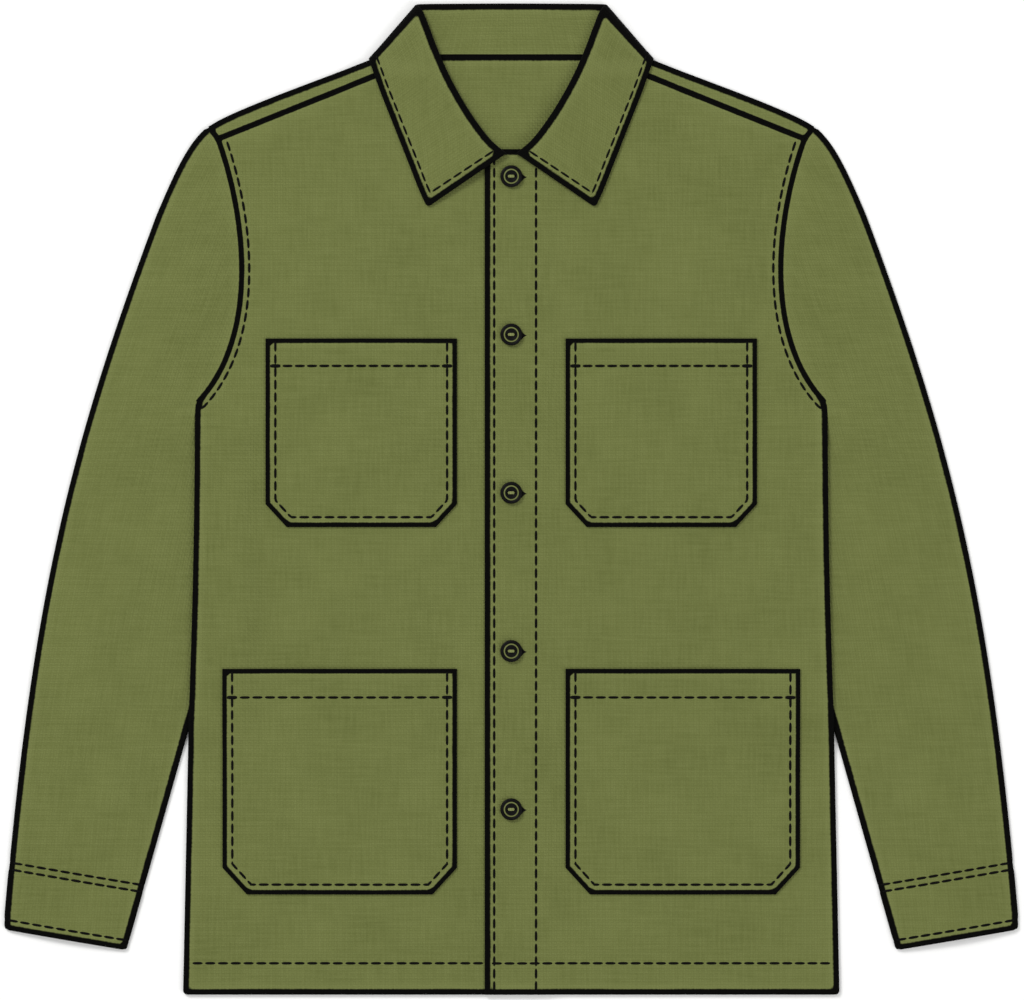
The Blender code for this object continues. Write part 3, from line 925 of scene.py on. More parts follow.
@dataclass(frozen=True)
class BodyForm:
    """Outlines and heights that the back, the fronts and the pockets share."""

    hem_half: float = field(default_factory=lambda: float(node_box("back")[1][0]) + HEM_WIDER)
    hem_y: float = field(default_factory=lambda: float(node_box("back")[0][1]))
    hem_depth: float = 25.8
    hem_blunt: float = 2.4
    side_bow: float = 0.12
    side_bow_ends: float = 0.55
    underarm: Point = (259.2, 77.4)
    armhole_pulls: tuple[Point, Point] = ((209.3, 126.5), (214.5, 222.0))
    armhole_top_x: float = 240.6
    armhole_row: float = 6.3
    shoulder_start: tuple[Point, Point, Point] = ((97.0, 368.7), (118.6, 356.7), (230.9, 320.1))
    shoulder_tip: Point = (248.4, 305.2)
    neck_side_x: float = 97.0
    back_neck_y: float = 363.9
    front_neck_y: float = 286.9
    neck_start_x: float = 12.0
    seam_outer_y: float = 295.3
    seam_inner_y: float = 353.0
    straight_x: float = 202.0
    straight_y: float = 230.0
    grid_top_y: float = 304.0
    rounds: int = 14
    lift: float = 3.3
    lift_top_x: float = 226.0
    lift_low_y: Point = (-215.0, -175.0)
    lift_high_y: float = 45.0
    raise_by: float = 1.8
    raise_x: Point = (121.0, 143.0)
    back_raise_y: Point = (300.0, 342.0)
    front_raise_y: Point = (285.0, 335.0)
    puff: float = 1.4
    puff_low_y: float = -310.0
    puff_high_y: Point = (235.0, 120.0)
    crease_times: float = 1.7
    placket_flat_x: float = 22.0
    placket_foot_x: float = 44.5

    def half(self, y: Array) -> Array:
        """Half width of the body, for each height.

        From the underarm to the hem it widens in proportion to the share s of the way, less
        side_bow sin(pi s / side_bow_ends) at its upper part, where the sleeve holds the side in. Above
        the underarm it is the armhole's Bezier curve, and then a straight line out to the tip.

        Args:
            y: Heights.

        Returns:
            The half width at each height.
        """
        wide, low = self.underarm
        top = (self.armhole_top_x, self.seam_outer_y)
        curve_x, curve_y = bezier((self.underarm, *self.armhole_pulls, top))
        curve_x = np.append(curve_x, self.shoulder_tip[0])
        curve_y = np.append(curve_y, self.shoulder_tip[1])
        share = np.clip((low - y) / (low - self.hem_y), 0.0, 1.0)
        share = share - self.side_bow * np.sin(np.pi * np.minimum(share / self.side_bow_ends, 1.0))
        return np.where(y <= low, wide + (self.hem_half - wide) * share, np.interp(y, curve_y, curve_x))

    def blunt_hem(self, x: Array, y: Array, columns: Sequence[int]) -> tuple[Array, Array]:
        """Blunts a panel's lower corners.

        Args:
            x: Places across the panel, a row of the grid along the hem first.
            y: Places along the panel.
            columns: Columns of the corners, 0 for the first and -1 for the last.

        Returns:
            The x and the y with blunt corners.
        """
        places = np.stack((x, y), axis=-1)
        for column in columns:
            places = blunted(places, (0, column), (8, -8 if column else 8), self.hem_blunt)
        return places[..., 0], places[..., 1]

    def shoulder_y(self, x: Array) -> Array:
        """Height of the shoulder's fold, a Bezier curve from the neck to the sleeve."""
        curve_x, curve_y = bezier((*self.shoulder_start, self.shoulder_tip))
        return np.interp(np.abs(x), curve_x, curve_y)

    def seam_y(self, x: Array) -> Array:
        """Height of the forward shoulder seam, a straight line."""
        outer = float(self.half(np.asarray(self.seam_outer_y)))
        return np.interp(np.abs(x), (self.neck_side_x, outer), (self.seam_inner_y, self.seam_outer_y))

    def front_top(self, x: Array) -> Array:
        """Upper edge of a front: a quarter ellipse for the neckline, then the forward seam.

        Args:
            x: Places across.

        Returns:
            The height of the edge at each place.
        """
        across = np.clip((np.abs(x) - self.neck_start_x) / (self.neck_side_x - self.neck_start_x), 0.0, 1.0)
        neck = self.seam_inner_y - (self.seam_inner_y - self.front_neck_y) * np.sqrt(1.0 - across ** 2)
        return np.where(np.abs(x) < self.neck_side_x, neck, self.seam_y(x))

    def back_top(self, x: Array) -> Array:
        """Upper edge of the back's lower ply: the neck, then just inside the shoulder's fold."""
        fold = np.minimum(self.shoulder_y(x) - STEP, self.back_neck_y)
        return np.where(np.abs(x) < self.neck_side_x, self.back_neck_y, fold)

    def lifted(self, x: Array, y: Array) -> Array:
        """Rise over the part of the sleeve that the body hides."""
        across = ease(np.abs(x), self.straight_x, self.lift_top_x)
        return self.lift * across * ease(y, *self.lift_low_y) * ease(y, self.underarm[1], self.lift_high_y)

    def raised(self, x: Array, y: Array, ends: Point) -> Array:
        """Rise over the collar's leaf at the back of the neck."""
        return self.raise_by * (1.0 - ease(np.abs(x), *self.raise_x)) * ease(y, *ends)

    def lattice(self, columns: Array, rows: Array, top: Callable[[Array], Array]) -> tuple[Array, Array]:
        """Places of a panel's grid.

        Columns are straight up to straight_x and shrink in proportion beyond it, as the armhole comes
        in. Rows are level up to straight_y and spread in proportion from there to the upper edge. The
        outermost column's height is found by putting its own x back in several times.

        Args:
            columns: Places across the hem.
            rows: Heights along the centre, the last one standing for the upper edge.
            top: Upper edge as a function of x.

        Returns:
            The x and the y of every grid point.
        """
        rise = np.clip((rows - self.straight_y) / (rows[-1] - self.straight_y), 0.0, 1.0)[:, None]
        row = np.minimum(rows, self.straight_y)[:, None]
        edge_y = row + (self.shoulder_tip[1] - self.straight_y) * rise
        for _ in range(self.rounds):
            edge_y = row + (top(self.half(edge_y)) - self.straight_y) * rise
        spare = (self.half(edge_y) - self.straight_x) / (self.hem_half - self.straight_x)
        beyond = np.maximum(np.abs(columns)[None, :] - self.straight_x, 0.0)
        x = np.sign(columns) * (np.minimum(np.abs(columns), self.straight_x) + beyond * spare)
        return x, row + (top(x) - self.straight_y) * rise

    def back_z(self, x: Array, y: Array) -> Array:
        """Middle of the back's ply."""
        return PLY / 2 + self.lifted(x, y) + self.raised(x, y, self.back_raise_y)

    def front_z(self, x: Array, y: Array, laps: bool) -> Array:
        """Middle of a front's ply: it stands off the back in a low raised-sine crown.

        Args:
            x: Places across.
            y: Places along.
            laps: Whether this front lies over the other one.

        Returns:
            The height at each place.
        """
        foot = self.placket_foot_x
        across = np.sin(np.pi * np.clip((np.abs(x) - foot) / (self.straight_x - foot), 0.0, 1.0)) ** 2
        along = ease(y, self.hem_y, self.puff_low_y) * ease(y, *self.puff_high_y)
        z = PLY / 2 + STEP + self.lifted(x, y) + self.raised(x, y, self.front_raise_y)
        z = z + self.puff * across * along + self.crease_times * creased(FRONT_CREASES, x, y)
        return z + STEP * ease(x, foot, self.placket_flat_x) if laps else z

    def armhole(self, side: Side, inset: float, start: float, end: float) -> Array:
        """Line that follows the armhole at a distance inside it.

        Args:
            side: Side of the wearer.
            inset: The distance.
            start: Height where it starts.
            end: Height where it ends.

        Returns:
            Points of the line, one a row.
        """
        y = np.linspace(start, end, 60)
        line = np.stack((self.half(y), y), axis=1)
        run = unit(np.gradient(line, axis=0))
        return (line + inset * np.stack((-run[:, 1], run[:, 0]), axis=1)) * (side.value, 1.0)


FRONT_CREASES = [Crease(*numbers) for numbers in (
    (-196.0, 40.0, 62.0, 150.0, 9.0, 0.5, 6.0), (-172.0, 176.0, 118.0, 110.0, 11.0, 0.45, -5.0),
    (-120.0, 206.0, 160.0, 90.0, 12.0, 0.35, 4.0), (-214.0, -78.0, 84.0, 160.0, 10.0, 0.5, 4.0),
    (-128.0, -72.0, 12.0, 110.0, 9.0, 0.4, -3.0), (-92.0, -358.0, 86.0, 60.0, 10.0, 0.4, 2.0),
    (-206.0, -360.0, 97.0, 66.0, 9.0, 0.45, -2.0), (190.0, 52.0, 122.0, 160.0, 10.0, 0.5, -6.0),
    (178.0, 186.0, 58.0, 100.0, 12.0, 0.45, 6.0), (108.0, 208.0, 24.0, 86.0, 11.0, 0.35, -3.0),
    (222.0, -62.0, 95.0, 150.0, 9.0, 0.45, -4.0), (142.0, -84.0, 170.0, 120.0, 10.0, 0.4, 3.0),
    (124.0, -362.0, 92.0, 62.0, 9.0, 0.4, -2.0), (236.0, -358.0, 84.0, 70.0, 8.0, 0.45, 2.0))]
BODY = BodyForm()


@dataclass
class Made:
    """Piece of cloth with its stitches, the node that it replaces, its cut and what it rests on."""

    piece: Piece
    node: str
    flat: Point
    area: float
    rests_on: tuple[str, ...]
    stitches: Piece

    def declare(self) -> None:
        """Ties the piece and its stitches to the root body, hides the node that it replaces, and logs it."""
        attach(self.piece, "root")
        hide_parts(self.node)
        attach(self.stitches, "root")
        list(self.rests_on)
        LOG.info("%s: %d faces, replaces %s", self.piece.name, len(self.piece.data.polygons), self.node)


# ---- back

@dataclass
class Back:
    """Back panel, with a strip on each side that wraps over the shoulder to the forward seam."""

    step: float = 6.0
    fold: float = STEP / 2
    strip_shares: tuple[float, ...] = (0.12, 0.3, 0.5, 0.7, 0.84, 0.92, 0.96, 1.0)
    row_ends_inside: float = 2.5
    underside: float = 0.35     # height of the lower stitches' row
    flat: Point = (0.534, 0.79)
    area: float = 0.395

    @property
    def hem_row(self) -> float:
        """Height of the hem's stitched row."""
        return BODY.hem_y + BODY.hem_depth

    def swell(self, x: Array, y: Array) -> Array:
        """Change of thickness on the outer side, which the table keeps flat: the hem's stitched row."""
        return np.minimum(sewn_in(y - self.hem_row, x), 0.0)

    def strip(self, side: Side, columns: Array) -> Sheet:
        """Strip over one shoulder.

        Its profile is a half circle around the fold, then a level run to the seam. Towards the armhole
        the columns shift sideways with the armhole's edge. Its rows run from the seam to the fold.

        Args:
            side: Side of the wearer.
            columns: Columns of the back that the strip continues, as distances from the centre.

        Returns:
            The strip as a sheet.
        """
        rows = np.array((BODY.straight_y, BODY.straight_y + 1.0))
        x, fold = (part[-1:] for part in BODY.lattice(columns, rows, BODY.back_top))
        angle = np.linspace(0.0, np.pi, 9)[:, None]
        slide = np.clip((columns - BODY.straight_x) / (BODY.hem_half - BODY.straight_x), 0.0, 1.0)[None, :]
        seam = BODY.seam_y(x)
        for _ in range(4):
            seam = BODY.seam_y(x + (BODY.half(seam) - BODY.half(fold)) * slide)
        share = np.array(self.strip_shares)[:, None]
        y = np.concatenate((fold + self.fold * np.sin(angle), fold + (seam - fold) * share))
        rise = np.concatenate((self.fold * (1.0 - np.cos(angle)), np.full_like(share, 2 * self.fold)))
        x = x + (BODY.half(y) - BODY.half(fold)) * slide
        z = BODY.back_z(x[:1], np.full_like(fold, BODY.back_neck_y)) + rise
        sheet = flat_sheet(side.value * x[::-1], y[::-1], z[::-1], np.zeros_like(x))
        return sheet if side is Side.LEFT else sheet.turned()

    def build(self, canvas: Material, thread: Material) -> Made:
        """Makes the panel and its hem's stitches.

        Args:
            canvas: Finish of the cloth.
            thread: Finish of the stitches.

        Returns:
            The made piece.
        """
        # The grid is coarse again at the centre, which is no edge: its three closest lines go.
        half = np.unique(np.concatenate((grid_lines(BODY.neck_side_x, BODY.hem_half, self.step),
                                         grid_lines(0.0, BODY.neck_side_x, self.step)[3:])))
        columns = np.concatenate((-half[::-1], half))
        rows = grid_lines(BODY.hem_y, BODY.grid_top_y, self.step, (self.hem_row,))
        x, y = BODY.lattice(columns, rows, BODY.back_top)
        x, y = BODY.blunt_hem(x, y, (0, -1))
        lower = flat_sheet(x, y, BODY.back_z(x, y), self.swell(x, y))
        beside = half[half >= BODY.neck_side_x]
        folds, seams = [], []
        for side in Side:
            folds.append(self.shoulder_fold(side))
            ends = np.linspace(BODY.neck_side_x, BODY.hem_half, 40)
            seams.append(self.at_front(side, ends, BODY.seam_y(ends)))
            rise = np.linspace(BODY.seam_outer_y, BODY.shoulder_tip[1], 6)
            seams.append(self.at_front(side, BODY.half(rise), rise))
        sheets = [lower.turned()] + [self.strip(side, beside) for side in Side]
        piece = shell("back_panel", sheets, PLY, canvas, folds, seams, painted_shade_band=4.4, lift=4.0)
        sewing = Topstitch()
        reach = BODY.hem_half - self.row_ends_inside
        sewing.sew_on(lambda px, py: self.underside - self.swell(px, py),
                      ((-reach, self.hem_row), (reach, self.hem_row)), down=True)
        return Made(piece, "back", self.flat, self.area, ("table",), sewing.build("back_stitches", thread))

    def shoulder_fold(self, side: Side) -> Array:
        """Line along the fold over a shoulder.

        Args:
            side: Side of the wearer.

        Returns:
            Points of the line, one a row. It ends just short of the tip.
        """
        tip = float(BODY.half(np.asarray(BODY.shoulder_tip[1]))) - 0.8
        run = np.linspace(BODY.neck_side_x, tip, 60)
        height = BODY.back_z(run, np.full_like(run, BODY.back_neck_y)) + self.fold
        return np.stack((side.value * run, BODY.back_top(run) + self.fold, height), axis=1)

    def at_front(self, side: Side, x: Array, y: Array) -> Array:
        """Line at the height of the strip's middle."""
        return np.stack((side.value * x, y, np.full_like(x, PLY / 2 + STEP)), axis=1)


# ---- fronts

@dataclass
class Front:
    """One front, from the opening's edge to the side, neckline, armhole and forward seam."""

    side: Side
    step: float = 4.0
    lap: float = 21.8
    placket_rows: Point = (-14.0, 20.3)
    hem_row_x: Point = (22.0, 262.5)
    lap_row_x: float = -17.0
    placket_row_ends: Point = (2.0, 4.0)        # inside the hem and the neckline
    armhole_row_start: Point = (255.6, 73.4)
    armhole_row_y: Point = (80.0, 292.0)
    hole_seam_y: float = 86.0
    shoulder_seam_x: float = 241.0
    flat: Point = (0.288, 0.76)
    area: float = 0.1975

    @property
    def laps(self) -> bool:
        """Whether this front lies over the other one."""
        return self.side is Side.LEFT

    @property
    def hem_row(self) -> float:
        """Height of the hem's stitched row."""
        return BODY.hem_y + BODY.hem_depth

    def swell(self, x: Array, y: Array) -> Array:
        """Change of thickness on the outer side.

        The turned hem, the seam allowance around the armhole and the placket's facing are each a ply
        more, which shows as a low level band.

        Args:
            x: Places across.
            y: Places along.

        Returns:
            The change at each place.
        """
        inside = from_line(x, y, BODY.armhole(self.side, 0.0, BODY.underarm[1], BODY.grid_top_y - 1.0))
        from_row, from_hem = inside - BODY.armhole_row, y - self.hem_row
        total = band(from_row, 0.3) + sewn_in(from_row, y) + band(from_hem, 0.3) + sewn_in(from_hem, x)
        if self.laps:
            near, far = self.placket_rows
            total = total + band(x - far - 0.2, 0.2) + sewn_in(x - near, y) + sewn_in(x - far, y)
        return total

    def outer(self, x: Array, y: Array) -> Array:
        """Height of the outer surface."""
        return BODY.front_z(x, y, self.laps) + PLY / 2 + self.swell(x, y)

    def seams(self) -> list[Array]:
        """Lines along which it is sewn on.

        Returns:
            The armhole and the forward shoulder seam.
        """
        hole = BODY.armhole(self.side, 0.0, self.hole_seam_y, BODY.seam_outer_y)
        run = np.linspace(BODY.neck_side_x, self.shoulder_seam_x, 40)
        shoulder = np.stack((self.side.value * run, BODY.seam_y(run)), axis=1)
        return [np.concatenate((line, BODY.front_z(line[:, 0], line[:, 1], self.laps)[:, None]), axis=1)
                for line in (hole, shoulder)]

    def build(self, canvas: Material, thread: Material) -> Made:
        """Makes the front and its stitches.

        Args:
            canvas: Finish of the cloth.
            thread: Finish of the stitches.

        Returns:
            The made piece.
        """
        marks = [BODY.neck_side_x, BODY.hem_half - BODY.armhole_row]
        marks += list(self.placket_rows) if self.laps else []
        columns = grid_lines(-self.lap, BODY.hem_half, self.step, marks)
        columns = columns if self.laps else -columns[::-1]
        rows = grid_lines(BODY.hem_y, BODY.grid_top_y, self.step, (self.hem_row,))
        x, y = BODY.lattice(columns, rows, BODY.front_top)
        x, y = BODY.blunt_hem(x, y, (-1,) if self.laps else (0,))
        sheet = flat_sheet(x, y, BODY.front_z(x, y, self.laps), self.swell(x, y))
        name = f"front_{self.side.word}"
        piece = shell(f"{name}_panel", [sheet], PLY, canvas, seams=self.seams(), painted_shade_band=4.7)
        sewing = Topstitch()
        low, high = BODY.hem_y + self.placket_row_ends[0], BODY.front_neck_y - self.placket_row_ends[1]
        for row in self.placket_rows if self.laps else ():
            sewing.sew_on(self.outer, ((row, low), (row, high)))
        near = self.lap_row_x if self.laps else self.hem_row_x[0]
        start, end = sorted(self.side.value * x for x in (near, self.hem_row_x[1]))
        sewing.sew_on(self.outer, ((start, self.hem_row), (end, self.hem_row)))
        hole = BODY.armhole(self.side, BODY.armhole_row, *self.armhole_row_y)
        first = np.array(self.armhole_row_start) * (self.side.value, 1.0)
        sewing.sew_on(self.outer, np.concatenate((first[None], hole)))
        stitches = sewing.build(f"{name}_stitches", thread)
        return Made(piece, name, self.flat, self.area, ("back_panel",), stitches)


# ---- pockets

class Place(Enum):
    """Place of a patch pocket: inner and outer x, bottom and top y, corner cut in x and y, mouth."""

    CHEST = (44.5, 201.5, -23.0, 131.6, 17.4, 18.8, 22.5)
    HIP = (44.5, 236.8, -324.2, -139.2, 20.0, 21.9, 23.4)

    @property
    def word(self) -> str:
        """Place as it stands in a node's name."""
        return self.name.lower()


@dataclass
class PatchPocket:
    """Patch pocket on a front, with its lower corners cut and its mouth turned and stitched."""

    place: Place
    side: Side
    step: float = 3.0
    inset: float = 8.1
    full: float = 0.9
    fullest: float = 0.62       # of half a turn, reached at the mouth
    tack: float = 9.6
    row_below_mouth: float = 1.5
    row_inside: float = 3.0

    def outline(self, inset: float = 0.0) -> Array:
        """Corners of the pocket's edge, or of a line inside it, from one end of the mouth to the other.

        The cut corner's line moves in by the inset d too. With a and b the cut's two legs and c its
        length, the inner line's legs are a - d (a + b - c) / b and b - d (a + b - c) / a.

        Args:
            inset: Distance inside the edge.

        Returns:
            The corners, one a row.
        """
        inner, outer, bottom, top, cut_x, cut_y, _ = self.place.value
        spare = inset * (cut_x + cut_y - np.hypot(cut_x, cut_y))
        along, up = cut_x - spare / cut_y, cut_y - spare / cut_x
        low, near, far = bottom + inset, inner + inset, outer - inset
        corners = ((near, top), (near, low + up), (near + along, low), (far - along, low), (far, low + up),
                   (far, top))
        return np.array(corners) * (self.side.value, 1.0)

    def swell(self, x: Array, y: Array) -> Array:
        """Change of thickness on the outer side: the turned mouth, the seam allowance, the rows.

        Args:
            x: Places across.
            y: Places along.

        Returns:
            The change at each place.
        """
        _, _, _, top, _, _, mouth = self.place.value
        edge = from_line(x, y, self.outline())
        row = top - mouth
        total = band(edge - self.inset, 0.25) * ease(y, row + 1.0, row - 1.0) + band(row - y, 0.3)
        return total + sewn_in(edge - self.inset, x + y) + sewn_in(y - row, x)

    def belly(self, x: Array, y: Array) -> Array:
        """Fullness of the pocket: squared sines across and along, most near its mouth.

        Args:
            x: Places across.
            y: Places along.

        Returns:
            The rise at each place.
        """
        inner, outer, bottom, top, _, _, _ = self.place.value
        across = np.sin(np.pi * np.clip((np.abs(x) - inner) / (outer - inner), 0.0, 1.0))
        share = np.clip((y - bottom) / (top - bottom), 0.0, 1.0)
        return self.full * across ** 2 * np.sin(np.pi * self.fullest * share) ** 2

    def middle(self, x: Array, y: Array) -> Array:
        """Middle of the pocket's ply, one step off the front."""
        return BODY.front_z(x, y, self.side is Side.LEFT) + STEP + self.belly(x, y)

    def outer(self, x: Array, y: Array) -> Array:
        """Height of the outer surface."""
        return self.middle(x, y) + PLY / 2 + self.swell(x, y)

    def build(self, canvas: Material, thread: Material) -> Made:
        """Makes the pocket and its stitches.

        Below the cut's upper end the rows are shortened in proportion, so that their ends follow it.

        Args:
            canvas: Finish of the cloth.
            thread: Finish of the stitches.

        Returns:
            The made piece.
        """
        inner, outer, bottom, top, cut_x, cut_y, mouth = self.place.value
        width, sign = outer - inner, self.side.value
        marks = (self.inset, width - self.inset, cut_x, width - cut_x)
        share = grid_lines(0.0, width, self.step, marks) / width
        rows = grid_lines(bottom, top, self.step, (bottom + self.inset, bottom + cut_y, top - mouth))
        short = np.maximum(bottom + cut_y - rows, 0.0)[:, None] * cut_x / cut_y
        x = inner + short + (width - 2 * short) * share[None, :]
        x = x if self.side is Side.LEFT else -x[:, ::-1]
        y = np.broadcast_to(rows[:, None], x.shape)
        sheet = flat_sheet(x, y, self.middle(x, y), self.swell(x, y))
        name = f"pocket_{self.place.word}_{self.side.word}"
        piece = shell(f"{name}_patch", [sheet], PLY, canvas, painted_shade_band=3.8)
        sewing = Topstitch()
        path = self.outline(self.inset)
        path[(0, -1), 1] = top - self.row_below_mouth
        sewing.sew_on(self.outer, path)
        row = top - mouth
        ends = (inner + self.row_inside, outer - self.row_inside)
        sewing.sew_on(self.outer, [(sign * x_end, row) for x_end in ends])
        for x_tack in (inner + self.inset, outer - self.inset):
            sewing.tack(self.outer, sign * x_tack, row, self.tack)
        flat = (width * MM, (top - bottom) * MM)
        area = flat[0] * flat[1] - cut_x * cut_y * MM ** 2
        stitches = sewing.build(f"{name}_stitches", thread)
        return Made(piece, name, flat, area, (f"front_{self.side.word}_panel",), stitches)


# ---- sleeves

SLEEVE_CREASES = {side: [Crease(*numbers) for numbers in rows] for side, rows in (
    (Side.LEFT, (
        (318.0, -20.0, 148.0, 90.0, 9.0, 0.9, 4.0), (340.0, -72.0, 20.0, 96.0, 10.0, 0.8, -5.0),
        (288.0, 96.0, 118.0, 110.0, 9.0, 0.8, 5.0), (352.0, -236.0, 100.0, 130.0, 11.0, 0.7, 4.0))),
    (Side.RIGHT, (
        (312.0, -44.0, 30.0, 90.0, 9.0, 0.9, -4.0), (344.0, -104.0, 155.0, 100.0, 10.0, 0.8, 5.0),
        (292.0, 120.0, 110.0, 100.0, 9.0, 0.8, -5.0), (330.0, -250.0, 106.0, 120.0, 11.0, 0.7, -4.0))))}


@dataclass
class Sleeve:
    """Set-in sleeve laid flat: a tube, open along the armhole above the underarm."""

    side: Side
    step: float = 4.0
    gap: float = -0.3
    puff: float = 2.2
    leaves_y: float = -175.0
    hides_y: float = 45.0
    bow: float = 24.0
    fold_x: float = 260.6
    fold_drawn_y: float = 22.0          # below it the inner fold shows
    slope: float = 0.283
    elbow: Point = (291.0, 232.9)       # where the outer fold's two curves meet
    head_pulls: tuple[Point, Point] = ((264.5, 293.9), (275.5, 269.2))
    arm_pulls: tuple[Point, ...] = ((359.7, 49.1), (392.7, -74.8), (415.5, -341.1))
    blunt: float = 2.2
    opens_over: float = 7.0             # below the underarm, where the inner fold forms
    crown_beyond: float = 4.0           # the upper ply rises from here, beyond the body's side
    rises_below_y: float = 225.0
    row_ends_inside: Point = (1.5, 2.0)
    crease_times: float = 1.4
    underside: float = 0.45
    flat: Point = (0.33, 0.675)
    area: float = 0.143
    cuff_rows: tuple[float, float, float] = (55.0, 49.4, 8.2)
    inner_y: tuple[float, ...] = (-370.1, -272.0, -222.0, -175.0, -130.0, -80.0, 304.9)
    outer_y: tuple[float, ...] = (-353.1, -261.0, -214.0, -170.0, -127.0, -80.0, 302.8)

    def inner_x(self, y: Array) -> Array:
        """Inner edge: the armhole, then hidden under the body, then the free inner fold.

        Args:
            y: Heights.

        Returns:
            The x of the edge at each height.
        """
        under = np.clip((y - self.leaves_y) / (self.hides_y - self.leaves_y), 0.0, 1.0)
        beside = BODY.half(np.asarray(self.hides_y)) + self.gap
        hidden = self.fold_x + (beside - self.fold_x) * under - self.bow * np.sin(np.pi * under)
        free = self.fold_x + self.slope * (self.leaves_y - y)
        return np.where(y > self.hides_y, BODY.half(y) + self.gap, np.where(y < self.leaves_y, free, hidden))

    def outer_x(self, y: Array) -> Array:
        """Outer fold: two Bezier curves from the shoulder's tip to the cuff.

        Args:
            y: Heights.

        Returns:
            The x of the fold at each height.
        """
        upper_x, upper_y = bezier((BODY.shoulder_tip, *self.head_pulls, self.elbow))
        lower_x, lower_y = bezier((self.elbow, *self.arm_pulls))
        curve_x = np.concatenate((upper_x, lower_x[1:]))[::-1]
        curve_y = np.concatenate((upper_y, lower_y[1:]))[::-1]
        return np.interp(y, curve_y, curve_x)

    def cuff_ends(self) -> tuple[Array, Array]:
        """Ends of the cuff's edge.

        Returns:
            X and Y of the end on the inner fold, and of the one on the outer fold.
        """
        inner, outer = np.array(self.inner_y[0]), np.array(self.outer_y[0])
        return np.array((self.inner_x(inner), inner)), np.array((self.outer_x(outer), outer))

    def cuff_distance(self, x: Array, y: Array) -> Array:
        """Distance above the cuff's edge, which slants from the inner fold to the outer one.

        Args:
            x: Places across, on the wearer's left.
            y: Places along.

        Returns:
            The distance of each place.
        """
        start, end = self.cuff_ends()
        run = unit(end - start)
        return (y - start[1]) * run[0] - (x - start[0]) * run[1]

    def swell(self, x: Array, y: Array) -> Array:
        """Change of thickness on the outer side: the deep turned hem and its three rows."""
        height = self.cuff_distance(x, y)
        return band(height - self.cuff_rows[1], 0.3) + sum(sewn_in(height - row, x) for row in self.cuff_rows)

    def row_ends(self, row: float) -> Point:
        """Heights at which a cuff row meets both edges, found by adding the missing distance four times.

        Args:
            row: Distance of the row above the cuff's edge.

        Returns:
            Y on the inner edge and on the outer one.
        """
        inner, outer = self.inner_y[0], self.outer_y[0]
        for _ in range(4):
            inner += row - float(self.cuff_distance(self.inner_x(np.asarray(inner)), np.asarray(inner)))
            outer += row - float(self.cuff_distance(self.outer_x(np.asarray(outer)), np.asarray(outer)))
        return inner, outer

    def rows(self) -> Array:
        """Heights of the rows at the inner edge, finer at the cuff, its rows and the underarm."""
        marks = [self.row_ends(row)[0] for row in self.cuff_rows]
        return grid_lines(self.inner_y[0], self.inner_y[-1], self.step, marks + [BODY.underarm[1]])

    def tube(self) -> tuple[Array, Array, Array, Array, Array]:
        """Middle surface of the tube on the wearer's left.

        Around the tube run the inner fold, the upper ply, the outer fold and the lower ply. Each fold
        is a half circle of half a step's radius. The upper ply is a half sine high between its folds.

        Returns:
            X, Y, Z, the arc length around from the outer fold, and which cells stay.
        """
        inner_y = self.rows()[:, None]
        level = [self.row_ends(row) for row in (0.0, *sorted(self.cuff_rows))]
        knots = np.array(level + list(zip(self.inner_y[1:], self.outer_y[1:])))
        outer_y = np.interp(inner_y, knots[:, 0], knots[:, 1])
        closed = inner_y <= BODY.underarm[1]
        radius = STEP / 2
        inner_x = self.inner_x(inner_y)
        outer_x = np.maximum(self.outer_x(outer_y), inner_x + 2 * STEP + 0.3)
        opening = ease(inner_y, BODY.underarm[1], BODY.underarm[1] - self.opens_over)
        start = inner_x + (PLY / 2 + radius) * opening
        end = outer_x - PLY / 2 - radius
        share = (grid_lines(0.0, 150.0, self.step) / 150.0)[None, :]
        flat = start + (end - start) * share
        visible = np.maximum(start, np.where(closed, BODY.half(inner_y) + self.crown_beyond, 0.0))
        crown = np.sin(np.pi * np.clip((flat - visible) / (end - visible), 0.0, 1.0))
        middle = PLY / 2 + radius
        turn = np.linspace(0.0, np.pi, 9)[None, 1:-1]
        outer_turn = (end + radius * np.sin(turn), middle + radius * np.cos(turn) + 0.0 * end)
        inner_turn = (start - radius * np.sin(turn), middle - radius * np.cos(turn) + 0.0 * start)
        half_turn = turn.shape[1] // 2 + 1
        upper_y = inner_y + (outer_y - inner_y) * np.clip((flat - inner_x) / (outer_x - inner_x), 0.0, 1.0)
        rise = self.puff * ease(inner_y, BODY.shoulder_tip[1], self.rises_below_y)
        upper = middle + radius + rise * crown + self.folded(flat, upper_y, crown)
        lower = np.full_like(flat, middle - radius)
        x, z = (np.concatenate((inner[:, half_turn - 1:], top, outer, under, inner[:, :half_turn]), axis=1)
                for inner, top, outer, under in zip(inner_turn, (flat, upper), outer_turn,
                                                    (flat[:, ::-1], lower)))
        y = inner_y + (outer_y - inner_y) * np.clip((x - inner_x) / (outer_x - inner_x), 0.0, 1.0)
        steps = np.hypot(np.diff(x, axis=1), np.diff(z, axis=1))
        around = np.concatenate((np.zeros_like(inner_y), np.cumsum(steps, axis=1)), axis=1)
        centre = around[:, x.shape[1] // 2][:, None]
        keep = np.ones((x.shape[0] - 1, x.shape[1] - 1), dtype=bool)
        opened = inner_y[1:, 0] > BODY.underarm[1]
        keep[opened, :half_turn] = False
        keep[opened, -half_turn:] = False
        places = blunted(np.stack((x, y), axis=-1), (0, x.shape[1] // 2), (12, -8), self.blunt)
        places = blunted(places, (0, 0), (12, 12), self.blunt)
        return places[..., 0], places[..., 1], z, around - centre, keep

